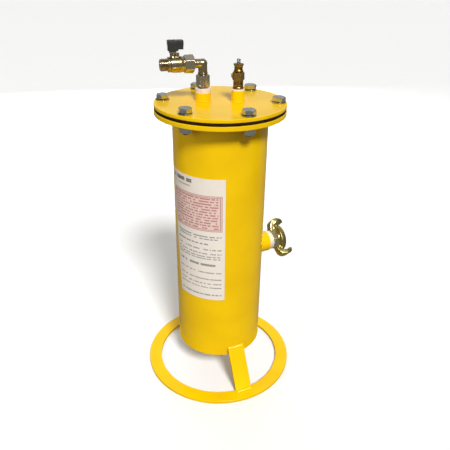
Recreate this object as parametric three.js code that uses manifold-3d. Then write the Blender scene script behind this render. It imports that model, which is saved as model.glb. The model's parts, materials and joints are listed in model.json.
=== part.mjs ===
// Free-standing compressed-air line filter: a basket strainer in a welded steel vessel.
// Units are millimetres, +Z is up. The origin is the centre of the foot ring, on the floor.
// +X runs through the two cover bosses, so the relief valve stands on the +X side.

import * as THREE from 'three';
import { mergeVertices } from 'three/addons/utils/BufferGeometryUtils.js';
import Module from 'manifold-3d';

const wasm = await Module();
wasm.setup();

// ---------- driving dimensions ----------

const GAP = 0.3;                    // clearance between pieces that touch
const ROUND = 40;                   // facets of a large round piece
const SMALL_ROUND = 16;             // facets of a fitting
const TINY_ROUND = 8;               // facets of a screw, pin or small bore

const TUBE_RADIUS = 139.7 / 2;      // 5 inch steel pipe
const TUBE_WALL = 4;
const TUBE_BOTTOM = 53.5;
const FLANGE_RADIUS = 95;
const FLANGE_BOTTOM = 448;
const FLANGE_TOP = 454.5;
const GASKET_TOP = 458.7;
const COVER_BOTTOM = 459;
const COVER_TOP = 464;
const TUBE_TOP = FLANGE_TOP - 2.5;
const PLATE_BOTTOM_THICKNESS = 5;

const BOLT_COUNT = 6;
const BOLT_CIRCLE_RADIUS = 83;
const BOLT_RADIUS = 4.8;            // M10
const BOLT_HOLE_RADIUS = 5.5;
const BOLT_AF = 17;
const BOLT_HEAD_HEIGHT = 6.4;
const WASHER_RADIUS = 10;
const WASHER_THICKNESS = 1.7;
const NUT_HEIGHT = 8.3;
const NUT_BORE_RADIUS = 5.1;
const BOLT_END = 436.4;
const HEAD_TURN = 12;               // degrees from one bolt head to the next, as they tightened up
const NUT_TURN = 25;

const RING_INNER_RADIUS = 104.3;
const RING_OUTER_RADIUS = 125.3;
const RING_THICKNESS = 5;
const LEG_WIDTH = 28;
const LEG_THICKNESS = 5;
const LEG_ANGLES = { leg_front: -63, leg_rear: 117 };
const LEG_KNEE_RISE = 10;           // the bar meets the tube this far above its lower end
const LEG_WELD_RISE = 8.5;          // and its weld reaches this much higher
const LEG_TOE_WELD = 5;             // the weld at its foot reaches this far out over the ring
const LEG_FOOT_OVERHANG = 2.5;      // the bar's foot reaches this far inside the ring's inner edge

const BOSS_OFFSET = 24.8;           // each boss stands this far from the vessel axis
const BOSS_TOP = 482.3;
const OUTLET_BOSS_RADIUS = 11;      // 3/8 inch half coupling
const RELIEF_BOSS_RADIUS = 9.4;     // 1/4 inch half coupling
const BOSS_CHAMFER = 0.8;
const QUARTER_THREAD_RADIUS = 6.58; // G 1/4 male thread
const QUARTER_BORE_RADIUS = 6.9;
const THREE_EIGHTHS_THREAD_RADIUS = 8.33;

const INLET_ANGLE = 30;
const INLET_HEIGHT = 213.3;
const INLET_RADIUS = 17;            // 3/4 inch half coupling
const INLET_BAND_RADIUS = 15.8;     // its turned, unpainted end
const INLET_BAND_START = 90;
const INLET_END = 97.5;
const INLET_BORE_RADIUS = 13.5;
const THREE_QUARTER_THREAD_RADIUS = 13.2;

const DRAIN_RADIUS = 13.2;          // 1/2 inch half coupling
const DRAIN_BORE_RADIUS = 9.5;
const DRAIN_BOTTOM = 33.2;
const DRAIN_SEAL_THICKNESS = 1.8;
const DRAIN_HEAD_HEIGHT = 8;
const DRAIN_HEAD_AF = 22;

const BASKET_RADIUS = 52;
const BASKET_SHEET = 1.5;
const BASKET_BOTTOM = 85;
const SEAT_BOTTOM = 400;
const SEAT_TOP = 405;
const RIM_BOTTOM = 407.6;
const RIM_TOP = 411.6;
const BRIDGE_TOP = RIM_TOP + GAP + 4;

const LABEL_START = -160;           // degrees round the vessel, at the sheet's top
const LABEL_SLANT = 15;             // its left edge slants in by this much at the bottom
const LABEL_END = -79.5;
const LABEL_BOTTOM = 167.3;
const LABEL_TOP = 371.7;
const LABEL_THICKNESS = 0.3;

// The claw coupling, along the inlet axis from the vessel axis.
const COUPLING_START = INLET_END + GAP;
const COUPLING_HEX_AF = 32;
const COUPLING_HEX_END = COUPLING_START + 9.5;
const COUPLING_FACE = 118;
const COUPLING_SEAT = 120.4;        // the rim that holds the seal stands proud of the face
const COUPLING_BORE = 9.5;
const COUPLING_HEAD_RADIUS = 22;
const SEAL_RECESS = 3;
const CLAW_ANGLES = [135, 315];
const CLAW_REACH = 33.5;            // radius over the claws
const CLAW_LIP = 20.5;              // the claws' lips come back in to this radius
const CLAW_TIP = 130;               // how far forward the lips reach
const CLAW_SPREAD = 20;             // half the angle that a claw spans, in degrees

// The outlet fittings.
const NIPPLE_HEX_BOTTOM = BOSS_TOP + 1.5;
const NIPPLE_TOP = 500.2;
const VALVE_AXIS_HEIGHT = 515.4;
const VALVE_ANGLE = 200;            // the outlet points this way
const ELBOW_RADIUS = 6.3;
const ELBOW_BORE = 3.6;

// The ball valve, along its axis from the elbow's.
const VALVE_HEX_START = 13.2;
const VALVE_HEX_END = 26.6;
const VALVE_BODY_END = 45.7;
const VALVE_BODY_RADIUS = 10.8;
const VALVE_MOUTH = 59.6;
const VALVE_BORE = 4;
const STEM_X = 41.5;
const STEM_RADIUS = 2.4;
const STEM_TOP = 26.7;
const NECK_TOP = 14.5;              // above the valve's axis, as are the lever's heights
const BALL_RADIUS = 6.6;
const LEVER_BOTTOM = 17.9;
const LEVER_TOP = 31.6;
const LEVER_FLOOR = 28.5;           // bottom of the recess for the screw's head

// The relief valve, as heights above the floor.
const RELIEF_SEAT = 474;
const RELIEF_FLARE_BOTTOM = BOSS_TOP + GAP;
const RELIEF_HEX_BOTTOM = 494;
const RELIEF_BODY_TOP = 505;
const RELIEF_CAP_TOP = 516;
const RELIEF_KNOB_TOP = 522.7;

// ---------- solids ----------

// A closed mesh with shared vertices and outward faces, as index and position arrays.
function weld(geometry) {
  const bare = geometry.index ? geometry.toNonIndexed() : geometry.clone();
  bare.deleteAttribute('normal');
  bare.deleteAttribute('uv');
  const merged = mergeVertices(bare, 1e-4);
  const position = merged.attributes.position;
  const corners = [0, 1, 2].map(() => new THREE.Vector3());
  const faces = [];
  let volume = 0;
  for (let i = 0; i < merged.index.count; i += 3) {
    const face = [0, 1, 2].map((k) => merged.index.getX(i + k));
    if (new Set(face).size < 3) continue;
    face.forEach((vertex, k) => corners[k].fromBufferAttribute(position, vertex));
    volume += corners[0].dot(corners[1].clone().cross(corners[2]));
    faces.push(face);
  }
  if (volume < 0) faces.forEach((face) => face.reverse());
  return { vertProperties: new Float32Array(position.array), triVerts: new Uint32Array(faces.flat()) };
}

function solid(geometry) {
  return new wasm.Manifold(new wasm.Mesh({ numProp: 3, ...weld(geometry) }));
}

function geometryOf(body) {
  const mesh = body.getMesh();
  const geometry = new THREE.BufferGeometry();
  geometry.setAttribute('position', new THREE.BufferAttribute(new Float32Array(mesh.vertProperties), 3));
  geometry.setIndex(new THREE.BufferAttribute(new Uint32Array(mesh.triVerts), 1));
  geometry.computeVertexNormals();
  return geometry;
}

function join(first, ...rest) {
  return rest.reduce((body, next) => body.add(next), first);
}

function cut(first, ...rest) {
  return rest.reduce((body, next) => body.subtract(next), first);
}

// Turns an outline of [radius, height] points about +Z. The outline closes on itself.
function turned(outline, facets = SMALL_ROUND) {
  const points = [...outline, outline[0]].map(([r, z]) => new THREE.Vector2(r, z));
  return solid(new THREE.LatheGeometry(points, facets).rotateX(Math.PI / 2));
}

function disc(radius, bottom, top, facets = SMALL_ROUND) {
  return turned([[0, bottom], [radius, bottom], [radius, top], [0, top]], facets);
}

function ring(inner, outer, bottom, top, facets = SMALL_ROUND) {
  return turned([[inner, bottom], [outer, bottom], [outer, top], [inner, top]], facets);
}

function block(sizeX, sizeY, bottom, top) {
  const box = new THREE.BoxGeometry(sizeX, sizeY, top - bottom);
  return solid(box.translate(0, 0, (bottom + top) / 2));
}

// Extrudes an outline of [x, y] points upwards.
function prism(outline, bottom, top) {
  const shape = new THREE.Shape(outline.map(([x, y]) => new THREE.Vector2(x, y)));
  const body = new THREE.ExtrudeGeometry(shape, { depth: top - bottom, bevelEnabled: false });
  return solid(body.translate(0, 0, bottom));
}

function hexagon(acrossFlats, bottom, top) {
  const corner = acrossFlats / Math.sqrt(3);
  const outline = [0, 1, 2, 3, 4, 5].map((k) => {
    const angle = k * Math.PI / 3;
    return [corner * Math.cos(angle), corner * Math.sin(angle)];
  });
  return prism(outline, bottom, top);
}

function spin(body, degrees) {
  return body.rotate([0, 0, degrees]);
}

function move(body, x, y, z = 0) {
  return body.translate([x, y, z]);
}

// Lays a body that was made along +Z onto the +X axis.
function alongX(body) {
  return body.rotate([0, 90, 0]);
}

// ---------- finishes ----------

const FINISH = {
  yellow_paint: { color: 0xf0c30a, roughness: 0.28, metalness: 0 },
  zinc: { color: 0xa9adae, roughness: 0.35, metalness: 1 },
  nickel: { color: 0xb9aa86, roughness: 0.25, metalness: 1 },
  dark_brass: { color: 0x7d6128, roughness: 0.4, metalness: 1 },
  yellow_zinc: { color: 0x9a9461, roughness: 0.45, metalness: 1 },
  stainless: { color: 0xb5b7b8, roughness: 0.4, metalness: 1 },
  rubber: { color: 0x1c1a19, roughness: 0.8, metalness: 0 },
  ptfe: { color: 0xe9e7e1, roughness: 0.6, metalness: 0 },
  felt: { color: 0xd8d3c4, roughness: 0.95, metalness: 0 },
  black_plastic: { color: 0x151515, roughness: 0.45, metalness: 0 },
  paper: { color: 0xe8e2da, roughness: 0.7, metalness: 0 },
};

const object = new THREE.Group();

function add(name, finish, body, parent = object) {
  const mesh = new THREE.Mesh(geometryOf(body), new THREE.MeshStandardMaterial(FINISH[finish]));
  mesh.name = name;
  parent.add(mesh);
  return mesh;
}

// ---------- vessel ----------

// Lays a body made along +Z onto the inlet axis, which leaves the vessel level.
function onInletAxis(body) {
  return move(spin(alongX(body), INLET_ANGLE), 0, 0, INLET_HEIGHT);
}

function buildVessel() {
  const inner = TUBE_RADIUS - TUBE_WALL;
  const tube = ring(inner, TUBE_RADIUS, TUBE_BOTTOM, TUBE_TOP, ROUND);
  const port = onInletAxis(disc(INLET_BORE_RADIUS, inner / 2, TUBE_RADIUS + 5));
  add('vessel_shell', 'yellow_paint', cut(tube, port));

  const plateTop = TUBE_BOTTOM + PLATE_BOTTOM_THICKNESS;
  const plate = ring(DRAIN_BORE_RADIUS, inner - GAP, TUBE_BOTTOM, plateTop, ROUND);
  add('vessel_bottom', 'yellow_paint', plate);
}

function boltHoles(bottom, top, radius = BOLT_HOLE_RADIUS) {
  const holes = [];
  for (let k = 0; k < BOLT_COUNT; k += 1) {
    holes.push(spin(move(disc(radius, bottom - 1, top + 1, TINY_ROUND), BOLT_CIRCLE_RADIUS, 0), k * 60));
  }
  return holes;
}

function buildFlangeAndCover() {
  const flange = ring(TUBE_RADIUS + GAP, FLANGE_RADIUS, FLANGE_BOTTOM, FLANGE_TOP, ROUND);
  add('body_flange', 'yellow_paint', cut(flange, ...boltHoles(FLANGE_BOTTOM, FLANGE_TOP)));

  const gasket = ring(TUBE_RADIUS - TUBE_WALL, FLANGE_RADIUS, FLANGE_TOP + GAP, GASKET_TOP, ROUND);
  add('flange_gasket', 'rubber', cut(gasket, ...boltHoles(FLANGE_TOP, GASKET_TOP)));

  const bores = [-1, 1].map((side) => {
    const bore = disc(QUARTER_BORE_RADIUS, COVER_BOTTOM - 1, COVER_TOP + 1, SMALL_ROUND);
    return move(bore, side * BOSS_OFFSET, 0);
  });
  const cover = disc(FLANGE_RADIUS, COVER_BOTTOM, COVER_TOP, ROUND);
  add('cover_plate', 'yellow_paint', cut(cover, ...boltHoles(COVER_BOTTOM, COVER_TOP), ...bores));
}

function buildBoss(name, x, radius) {
  const boss = turned([
    [QUARTER_BORE_RADIUS, COVER_TOP + GAP], [radius, COVER_TOP + GAP],
    [radius, BOSS_TOP - BOSS_CHAMFER], [radius - BOSS_CHAMFER, BOSS_TOP], [QUARTER_BORE_RADIUS, BOSS_TOP],
  ]);
  add(name, 'yellow_paint', move(boss, x, 0));
}

function buildInletSocket() {
  const body = turned([
    [INLET_BORE_RADIUS, TUBE_RADIUS - TUBE_WALL], [INLET_RADIUS, TUBE_RADIUS - TUBE_WALL],
    [INLET_RADIUS, INLET_BAND_START - 1], [INLET_RADIUS - 0.6, INLET_BAND_START],
    [INLET_BAND_RADIUS, INLET_BAND_START], [INLET_BAND_RADIUS, INLET_END - 1],
    [INLET_BAND_RADIUS - 1, INLET_END], [INLET_BORE_RADIUS, INLET_END],
  ]);
  const saddle = disc(TUBE_RADIUS + GAP, INLET_HEIGHT - 40, INLET_HEIGHT + 40, ROUND);
  add('inlet_socket', 'yellow_paint', cut(onInletAxis(body), saddle));
}

function buildDrain() {
  const socketTop = TUBE_BOTTOM - GAP;
  const socket = ring(DRAIN_BORE_RADIUS, DRAIN_RADIUS, DRAIN_BOTTOM, socketTop);
  add('drain_socket', 'yellow_paint', socket);

  const sealTop = DRAIN_BOTTOM - GAP;
  const sealBottom = sealTop - DRAIN_SEAL_THICKNESS;
  add('drain_seal', 'ptfe', ring(DRAIN_BORE_RADIUS, DRAIN_RADIUS - 0.7, sealBottom, sealTop));

  const headTop = sealBottom - GAP;
  const head = hexagon(DRAIN_HEAD_AF, headTop - DRAIN_HEAD_HEIGHT, headTop);
  const shank = disc(DRAIN_BORE_RADIUS - GAP, headTop - 1, socketTop - 6);
  add('drain_plug', 'zinc', join(head, shank));
}

// ---------- stand ----------

function buildStand() {
  const foot = ring(RING_INNER_RADIUS, RING_OUTER_RADIUS, 0, RING_THICKNESS, ROUND);
  add('foot_ring', 'yellow_paint', foot);

  // Side view of a leg as [radius, height]: a sloping flat bar with a weld at each end.
  const wall = TUBE_RADIUS + GAP + 0.2;
  const floor = RING_THICKNESS + GAP;
  const kneeHeight = TUBE_BOTTOM + LEG_KNEE_RISE;
  const footInner = RING_INNER_RADIUS - LEG_FOOT_OVERHANG;
  const slope = Math.atan2(footInner - wall, kneeHeight - floor);
  const outX = LEG_THICKNESS * Math.cos(slope);
  const outZ = LEG_THICKNESS * Math.sin(slope);
  const weldTop = [wall, kneeHeight + LEG_WELD_RISE];
  const shoulder = [wall + outX, kneeHeight + outZ];
  const ankle = [footInner + outX, floor + outZ];
  const outline = [
    [footInner, floor], [ankle[0] + LEG_TOE_WELD, floor], [ankle[0], ankle[1]], shoulder, weldTop, [wall, kneeHeight],
  ];
  for (const [name, angle] of Object.entries(LEG_ANGLES)) {
    const bar = prism(outline, -LEG_WIDTH / 2, LEG_WIDTH / 2).rotate([90, 0, 0]);
    add(name, 'yellow_paint', spin(bar, angle));
  }
}

// ---------- bolts ----------

function buildBolts() {
  const washerBottom = COVER_TOP + GAP;
  const washerTop = washerBottom + WASHER_THICKNESS;
  const headBottom = washerTop + GAP;
  const nutTop = FLANGE_BOTTOM - GAP;
  const nutBottom = nutTop - NUT_HEIGHT;
  for (let k = 0; k < BOLT_COUNT; k += 1) {
    const onCircle = (body) => spin(move(body, BOLT_CIRCLE_RADIUS, 0), (k * 360) / BOLT_COUNT);
    const head = hexagon(BOLT_AF, headBottom, headBottom + BOLT_HEAD_HEIGHT);
    const shank = disc(BOLT_RADIUS, BOLT_END, headBottom + 1, TINY_ROUND);
    add(`cover_bolt_${k + 1}`, 'zinc', onCircle(join(spin(head, HEAD_TURN * k), shank)));
    const washer = ring(BOLT_HOLE_RADIUS, WASHER_RADIUS, washerBottom, washerTop, SMALL_ROUND);
    add(`cover_washer_${k + 1}`, 'zinc', onCircle(washer));
    const nut = hexagon(BOLT_AF, nutBottom, nutTop);
    const thread = disc(NUT_BORE_RADIUS, nutBottom - 1, nutTop + 1, TINY_ROUND);
    add(`cover_nut_${k + 1}`, 'zinc', onCircle(cut(spin(nut, NUT_TURN * k), thread)));
  }
}

// ---------- basket ----------

class Helix extends THREE.Curve {
  constructor(radius, bottom, top, turns) {
    super();
    Object.assign(this, { radius, bottom, top, turns });
  }

  getPoint(t) {
    const angle = t * this.turns * 2 * Math.PI;
    const height = this.bottom + t * (this.top - this.bottom);
    return new THREE.Vector3(this.radius * Math.cos(angle), this.radius * Math.sin(angle), height);
  }
}

// A wire wound round the axis, with a section of few sides.
function spring(radius, wire, bottom, top, turns) {
  const section = new THREE.Shape();
  section.absarc(0, 0, wire / 2, 0, 2 * Math.PI);
  const path = new Helix(radius, bottom + wire / 2, top - wire / 2, turns);
  const options = { steps: turns * 9, curveSegments: 3, extrudePath: path, bevelEnabled: false };
  return solid(new THREE.ExtrudeGeometry(section, options));
}

function buildBasketShell() {
  const rows = 4;
  const columns = 5;
  const rowHeight = (RIM_BOTTOM - 12 - BASKET_BOTTOM) / rows;
  const slots = [];
  for (let row = 0; row < rows; row += 1) {
    const bottom = BASKET_BOTTOM + 8 + row * rowHeight;
    for (let column = 0; column < columns; column += 1) {
      const slot = block(3 * BASKET_RADIUS, 9, bottom, bottom + rowHeight - 12);
      slots.push(spin(slot, (column + (row % 2) / 2) * 180 / columns));
    }
  }
  const sheet = ring(BASKET_RADIUS - BASKET_SHEET, BASKET_RADIUS, BASKET_BOTTOM, RIM_TOP, 30);
  add('basket_shell', 'stainless', cut(sheet, ...slots));
}

function buildBasket() {
  const inner = BASKET_RADIUS - BASKET_SHEET - GAP;
  const wall = TUBE_RADIUS - TUBE_WALL - GAP;
  add('basket_seat', 'yellow_paint', ring(BASKET_RADIUS + 2, wall, SEAT_BOTTOM, SEAT_TOP, ROUND));
  add('basket_seal', 'rubber', ring(BASKET_RADIUS + 2.5, 64, SEAT_TOP + GAP, RIM_BOTTOM - GAP, 30));
  add('basket_rim', 'stainless', ring(BASKET_RADIUS + GAP, 64.5, RIM_BOTTOM, RIM_TOP, 30));
  buildBasketShell();

  const floorHoles = [disc(6, BASKET_BOTTOM - 1, BASKET_BOTTOM + 3, TINY_ROUND)];
  for (let k = 0; k < 8; k += 1) {
    const hole = disc(6, BASKET_BOTTOM - 1, BASKET_BOTTOM + 3, TINY_ROUND);
    floorHoles.push(spin(move(hole, inner * 0.62, 0), k * 45));
  }
  const floor = disc(inner, BASKET_BOTTOM, BASKET_BOTTOM + BASKET_SHEET, 30);
  add('basket_floor', 'stainless', cut(floor, ...floorHoles));

  const sleeveBottom = BASKET_BOTTOM + BASKET_SHEET + GAP;
  add('filter_sleeve', 'felt', ring(inner - 4, inner, sleeveBottom, RIM_BOTTOM - 5, 30));

  const bridge = block(120, 20, RIM_TOP + GAP, BRIDGE_TOP);
  add('basket_bridge', 'stainless', bridge);
  add('hold_down_spring', 'stainless', spring(13, 3, BRIDGE_TOP + GAP, COVER_BOTTOM - GAP, 5));
}

// ---------- claw coupling on the inlet ----------

// The turned head of the coupling, as an outline of [radius, distance along the axis].
function couplingHead() {
  const rim = COUPLING_HEAD_RADIUS;
  const recess = COUPLING_SEAT - SEAL_RECESS;
  return turned([
    [COUPLING_BORE, COUPLING_HEX_END - 1], [15.5, COUPLING_HEX_END - 1], [16, COUPLING_HEX_END + 2],
    [rim - 2, COUPLING_HEX_END + 4], [rim, COUPLING_HEX_END + 6], [rim, COUPLING_FACE - 1],
    [rim - 1, COUPLING_FACE], [16.8, COUPLING_FACE], [16.5, COUPLING_SEAT], [15, COUPLING_SEAT],
    [15, recess], [COUPLING_BORE, recess],
  ], 28);
}

// Both claws: each leaves the back of the head, hooks forward over its face and turns in at its lip.
function couplingClaws() {
  const hook = turned([
    [14, 101], [22, 101.5], [28.5, 104.5], [32.4, 110], [CLAW_REACH, 116.5], [33, 124],
    [30.4, 128.8], [26.5, CLAW_TIP], [CLAW_LIP, CLAW_TIP], [CLAW_LIP, 126.4], [24.6, 125],
    [25, 120], [24, 116], [21, 114], [14, 109],
  ], ROUND);
  const side = 60 * Math.tan(THREE.MathUtils.degToRad(CLAW_SPREAD));
  const bore = disc(COUPLING_BORE, 95, CLAW_TIP);
  return CLAW_ANGLES.map((angle) => {
    const wedge = prism([[0, 0], [60, -side], [60, side]], 95, CLAW_TIP + 5);
    return hook.intersect(spin(wedge, angle)).subtract(bore);
  });
}

function buildCoupling() {
  const shank = ring(COUPLING_BORE, THREE_QUARTER_THREAD_RADIUS, COUPLING_START - 16, COUPLING_START + 1);
  const hex = cut(
    hexagon(COUPLING_HEX_AF, COUPLING_START, COUPLING_HEX_END),
    disc(COUPLING_BORE, COUPLING_START - 1, COUPLING_HEX_END + 1),
  );
  // Laid down, the outline's +X points down, so at 135 degrees the upper claw leans to the rear.
  const whole = join(shank, hex, couplingHead(), ...couplingClaws());
  add('claw_coupling', 'yellow_zinc', onInletAxis(whole));

  const bottom = COUPLING_SEAT - SEAL_RECESS + GAP;
  const top = COUPLING_SEAT + 1.3;
  const seal = turned([[10.6, bottom], [14.7, bottom], [14.7, top - 0.9], [13.6, top], [10.6, top]]);
  add('coupling_seal', 'rubber', onInletAxis(seal));
}

// ---------- outlet elbow and ball valve ----------

function buildNipple() {
  const outside = join(
    disc(QUARTER_THREAD_RADIUS, 470, NIPPLE_HEX_BOTTOM + 0.5),
    hexagon(17, NIPPLE_HEX_BOTTOM, NIPPLE_TOP),
  );
  const socketBottom = 490;
  const inside = join(disc(VALVE_BORE, 469, socketBottom + 1), disc(5.3, socketBottom, NIPPLE_TOP + 1));
  add('hex_nipple', 'nickel', move(cut(outside, inside), -BOSS_OFFSET, 0));
}

// The elbow stands in a turned group, whose +X is the valve's axis. The valve's pieces join it there.
function buildElbow() {
  const arms = new THREE.Group();
  arms.position.set(-BOSS_OFFSET, 0, VALVE_AXIS_HEIGHT);
  arms.rotation.z = THREE.MathUtils.degToRad(VALVE_ANGLE);
  object.add(arms);
  const corner = solid(new THREE.SphereGeometry(ELBOW_RADIUS, 20, 10).rotateX(Math.PI / 2));
  const barrelBottom = NIPPLE_TOP + GAP - VALVE_AXIS_HEIGHT;
  const spigotBottom = barrelBottom - 8;
  const armEnd = VALVE_HEX_START - 0.2;
  const threadEnd = 23;
  const outside = join(
    corner,
    disc(ELBOW_RADIUS, barrelBottom, 0),
    disc(5, spigotBottom, barrelBottom + 1),
    alongX(disc(ELBOW_RADIUS - 0.2, 0, armEnd)),
    alongX(disc(QUARTER_THREAD_RADIUS, armEnd - 0.4, threadEnd)),
  );
  const passage = join(
    disc(ELBOW_BORE, spigotBottom - 1, ELBOW_BORE - 0.6),
    alongX(disc(ELBOW_BORE, -2, threadEnd + 1)),
  );
  add('outlet_elbow', 'nickel', cut(outside, passage), arms);
  return arms;
}

function buildValveBody(arms) {
  const chamberStart = STEM_X - 7.2;
  const chamberRadius = 7.4;
  const outside = join(
    alongX(hexagon(22, VALVE_HEX_START, VALVE_HEX_END)),
    alongX(disc(VALVE_BODY_RADIUS, VALVE_HEX_END - 1, VALVE_BODY_END)),
    move(disc(4, 6, NECK_TOP), STEM_X, 0),
    move(block(5.5, 5, 8, NECK_TOP), STEM_X - 5.75, 0),
    move(block(2.8, 5, 8, NECK_TOP + 1), STEM_X - 7.1, 0),
  );
  const inside = join(
    alongX(disc(QUARTER_BORE_RADIUS, VALVE_HEX_START - 1, 24.5)),
    alongX(disc(VALVE_BORE, 24, chamberStart + 1)),
    alongX(disc(chamberRadius, chamberStart, VALVE_BODY_END + 1)),
    alongX(disc(8.9, 43.9, VALVE_BODY_END + 1)),
    move(disc(STEM_RADIUS + 0.4, 5, NECK_TOP + 1), STEM_X, 0),
  );
  add('valve_body', 'nickel', cut(outside, inside), arms);

  const collar = VALVE_BODY_END + GAP;
  const collarEnd = collar + 2.9;
  const end = join(
    ring(chamberRadius, 8.6, 44.6, collar + 0.5),
    ring(chamberRadius, 10, collar, collarEnd - 0.2),
    ring(VALVE_BORE, 10, collarEnd - 0.5, collarEnd),
    ring(VALVE_BORE, THREE_EIGHTHS_THREAD_RADIUS, collarEnd - 0.4, VALVE_MOUTH),
  );
  add('valve_outlet_end', 'nickel', alongX(end), arms);

  for (const [name, side] of [['ball_seat_inlet', -1], ['ball_seat_outlet', 1]]) {
    const middle = STEM_X + side * 5.9;
    add(name, 'ptfe', alongX(ring(4.8, 7.1, middle - 1, middle + 1)), arms);
  }
  const gland = hexagon(9, NECK_TOP + GAP, LEVER_BOTTOM - 0.5);
  const glandBore = disc(STEM_RADIUS + GAP, NECK_TOP, LEVER_BOTTOM, TINY_ROUND);
  add('gland_nut', 'nickel', move(cut(gland, glandBore), STEM_X, 0), arms);
}

function buildValveHandle(arms) {
  const sphere = solid(new THREE.SphereGeometry(BALL_RADIUS, 20, 12).rotateX(Math.PI / 2));
  const ball = cut(sphere, alongX(disc(VALVE_BORE, -10, 10)));
  add('valve_ball', 'stainless', move(ball, STEM_X, 0), arms);

  const screwHole = disc(1.8, 22, STEM_TOP + 1, TINY_ROUND);
  const stem = cut(disc(STEM_RADIUS, BALL_RADIUS + GAP, STEM_TOP, TINY_ROUND), screwHole);
  add('valve_stem', 'nickel', move(stem, STEM_X, 0), arms);

  // The lever lies over the valve and points at the elbow when the valve is open.
  const outline = [
    [7, -3.5], [7, 3.5], [4.5, 5.5], [-13.5, 5.5], [-14.6, 3.6], [-14.6, -3.6], [-13.5, -5.5], [4.5, -5.5],
  ];
  const hollow = join(
    disc(STEM_RADIUS + GAP, LEVER_BOTTOM - 1, STEM_TOP + GAP, TINY_ROUND),
    disc(1.8, STEM_TOP, LEVER_FLOOR + 0.5, TINY_ROUND),
    disc(4.2, LEVER_FLOOR, LEVER_TOP + 1, TINY_ROUND),
  );
  const undercut = move(block(8, 12, LEVER_BOTTOM - 1, LEVER_BOTTOM + 2.2), -11.5, 0);
  const handle = cut(prism(outline, LEVER_BOTTOM, LEVER_TOP), hollow, undercut);
  add('valve_handle', 'black_plastic', move(handle, STEM_X, 0), arms);

  const headBottom = LEVER_FLOOR + GAP;
  const screw = join(
    disc(3.8, headBottom, headBottom + 2, TINY_ROUND),
    disc(1.5, STEM_TOP - 3.7, headBottom + 0.2, TINY_ROUND),
  );
  add('handle_screw', 'zinc', move(screw, STEM_X, 0), arms);
}

// ---------- relief valve ----------

function reliefBody() {
  const flare = RELIEF_FLARE_BOTTOM;
  const barrel = 7;
  const nubHeight = 500;
  const holeHeight = 490;
  const crossHole = alongX(disc(1.3, -12, 12, TINY_ROUND));
  const outside = join(
    disc(QUARTER_THREAD_RADIUS, 468, flare + 0.4),
    turned([
      [0, flare], [7.8, flare], [7.8, flare + 1.8], [barrel, flare + 2.6],
      [barrel, RELIEF_HEX_BOTTOM + 1], [0, RELIEF_HEX_BOTTOM + 1],
    ]),
    hexagon(15, RELIEF_HEX_BOTTOM, RELIEF_BODY_TOP),
    move(spin(alongX(disc(2.6, 5, 10, TINY_ROUND)), 180), 0, 0, nubHeight),
  );
  const inside = join(
    disc(2.8, 467, RELIEF_SEAT + 1, TINY_ROUND),
    disc(4.2, RELIEF_SEAT, RELIEF_BODY_TOP + 1),
    move(crossHole, 0, 0, holeHeight),
    move(spin(crossHole, 90), 0, 0, holeHeight),
  );
  return cut(outside, inside);
}

function buildReliefValve() {
  const place = (body) => move(body, BOSS_OFFSET, 0);
  add('relief_body', 'dark_brass', place(reliefBody()));

  const rod = 1.3;
  const bore = rod + 0.5;
  const bottom = RELIEF_BODY_TOP + GAP;
  const top = RELIEF_CAP_TOP;
  const cap = turned([
    [bore, bottom], [6.6, bottom], [5.8, bottom + 3.6], [6, top - 3], [7, top - 1], [7, top], [bore, top],
  ]);
  add('relief_cap', 'dark_brass', place(cap));

  const discBottom = RELIEF_SEAT + GAP;
  const discTop = discBottom + 3;
  const rodTop = top + 3;
  const stem = join(disc(3.9, discBottom, discTop), disc(rod, discTop - 1, rodTop, TINY_ROUND));
  add('relief_stem', 'stainless', place(stem));
  const knob = disc(2.6, top + GAP, RELIEF_KNOB_TOP, TINY_ROUND);
  const knobHole = disc(rod + GAP, top - 1, rodTop + 0.5, TINY_ROUND);
  add('relief_knob', 'stainless', place(cut(knob, knobHole)));
  add('relief_spring', 'stainless', place(spring(3, 0.8, discTop + GAP, bottom - GAP, 5)));
}

// ---------- label ----------

// What is cut off the sheet to leave its slanting left edge.
function labelTrim(radius) {
  const half = radius * Math.sin(THREE.MathUtils.degToRad(LABEL_SLANT / 2));
  const far = 4 * half;
  const offcut = [[-far, LABEL_BOTTOM - 1], [half, LABEL_BOTTOM], [-half, LABEL_TOP], [-far, LABEL_TOP + 1]];
  const upright = prism(offcut, radius - 10, radius + 10).rotate([90, 0, 90]);
  return spin(upright, LABEL_START + LABEL_SLANT / 2);
}

function buildLabel() {
  const radius = TUBE_RADIUS + GAP;
  const shape = new THREE.Shape();
  const start = THREE.MathUtils.degToRad(LABEL_START);
  const end = THREE.MathUtils.degToRad(LABEL_END);
  shape.absarc(0, 0, radius + LABEL_THICKNESS, start, end, false);
  shape.absarc(0, 0, radius, end, start, true);
  const options = { depth: LABEL_TOP - LABEL_BOTTOM, curveSegments: 18, bevelEnabled: false };
  const sheet = solid(new THREE.ExtrudeGeometry(shape, options).translate(0, 0, LABEL_BOTTOM));
  add('data_label', 'paper', cut(sheet, labelTrim(radius)));
}

buildVessel();
buildFlangeAndCover();
buildBoss('outlet_boss', -BOSS_OFFSET, OUTLET_BOSS_RADIUS);
buildBoss('relief_boss', BOSS_OFFSET, RELIEF_BOSS_RADIUS);
buildInletSocket();
buildDrain();
buildStand();
buildBolts();
buildBasket();
buildCoupling();
buildNipple();
const valveArms = buildElbow();
buildValveBody(valveArms);
buildValveHandle(valveArms);
buildReliefValve();
buildLabel();

export default object;
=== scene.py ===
"""Finished look of a free-standing compressed-air line filter with a strainer basket.

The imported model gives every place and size. Each sub-assembly below builds fine
meshes over it, in millimetres, and turns them into pieces in metres.
"""
import json
import logging
import math
from collections.abc import Callable, Sequence
from dataclasses import dataclass, field
from enum import Enum, IntEnum

import bmesh
import bpy
from mathutils import Matrix, Vector, noise


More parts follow.
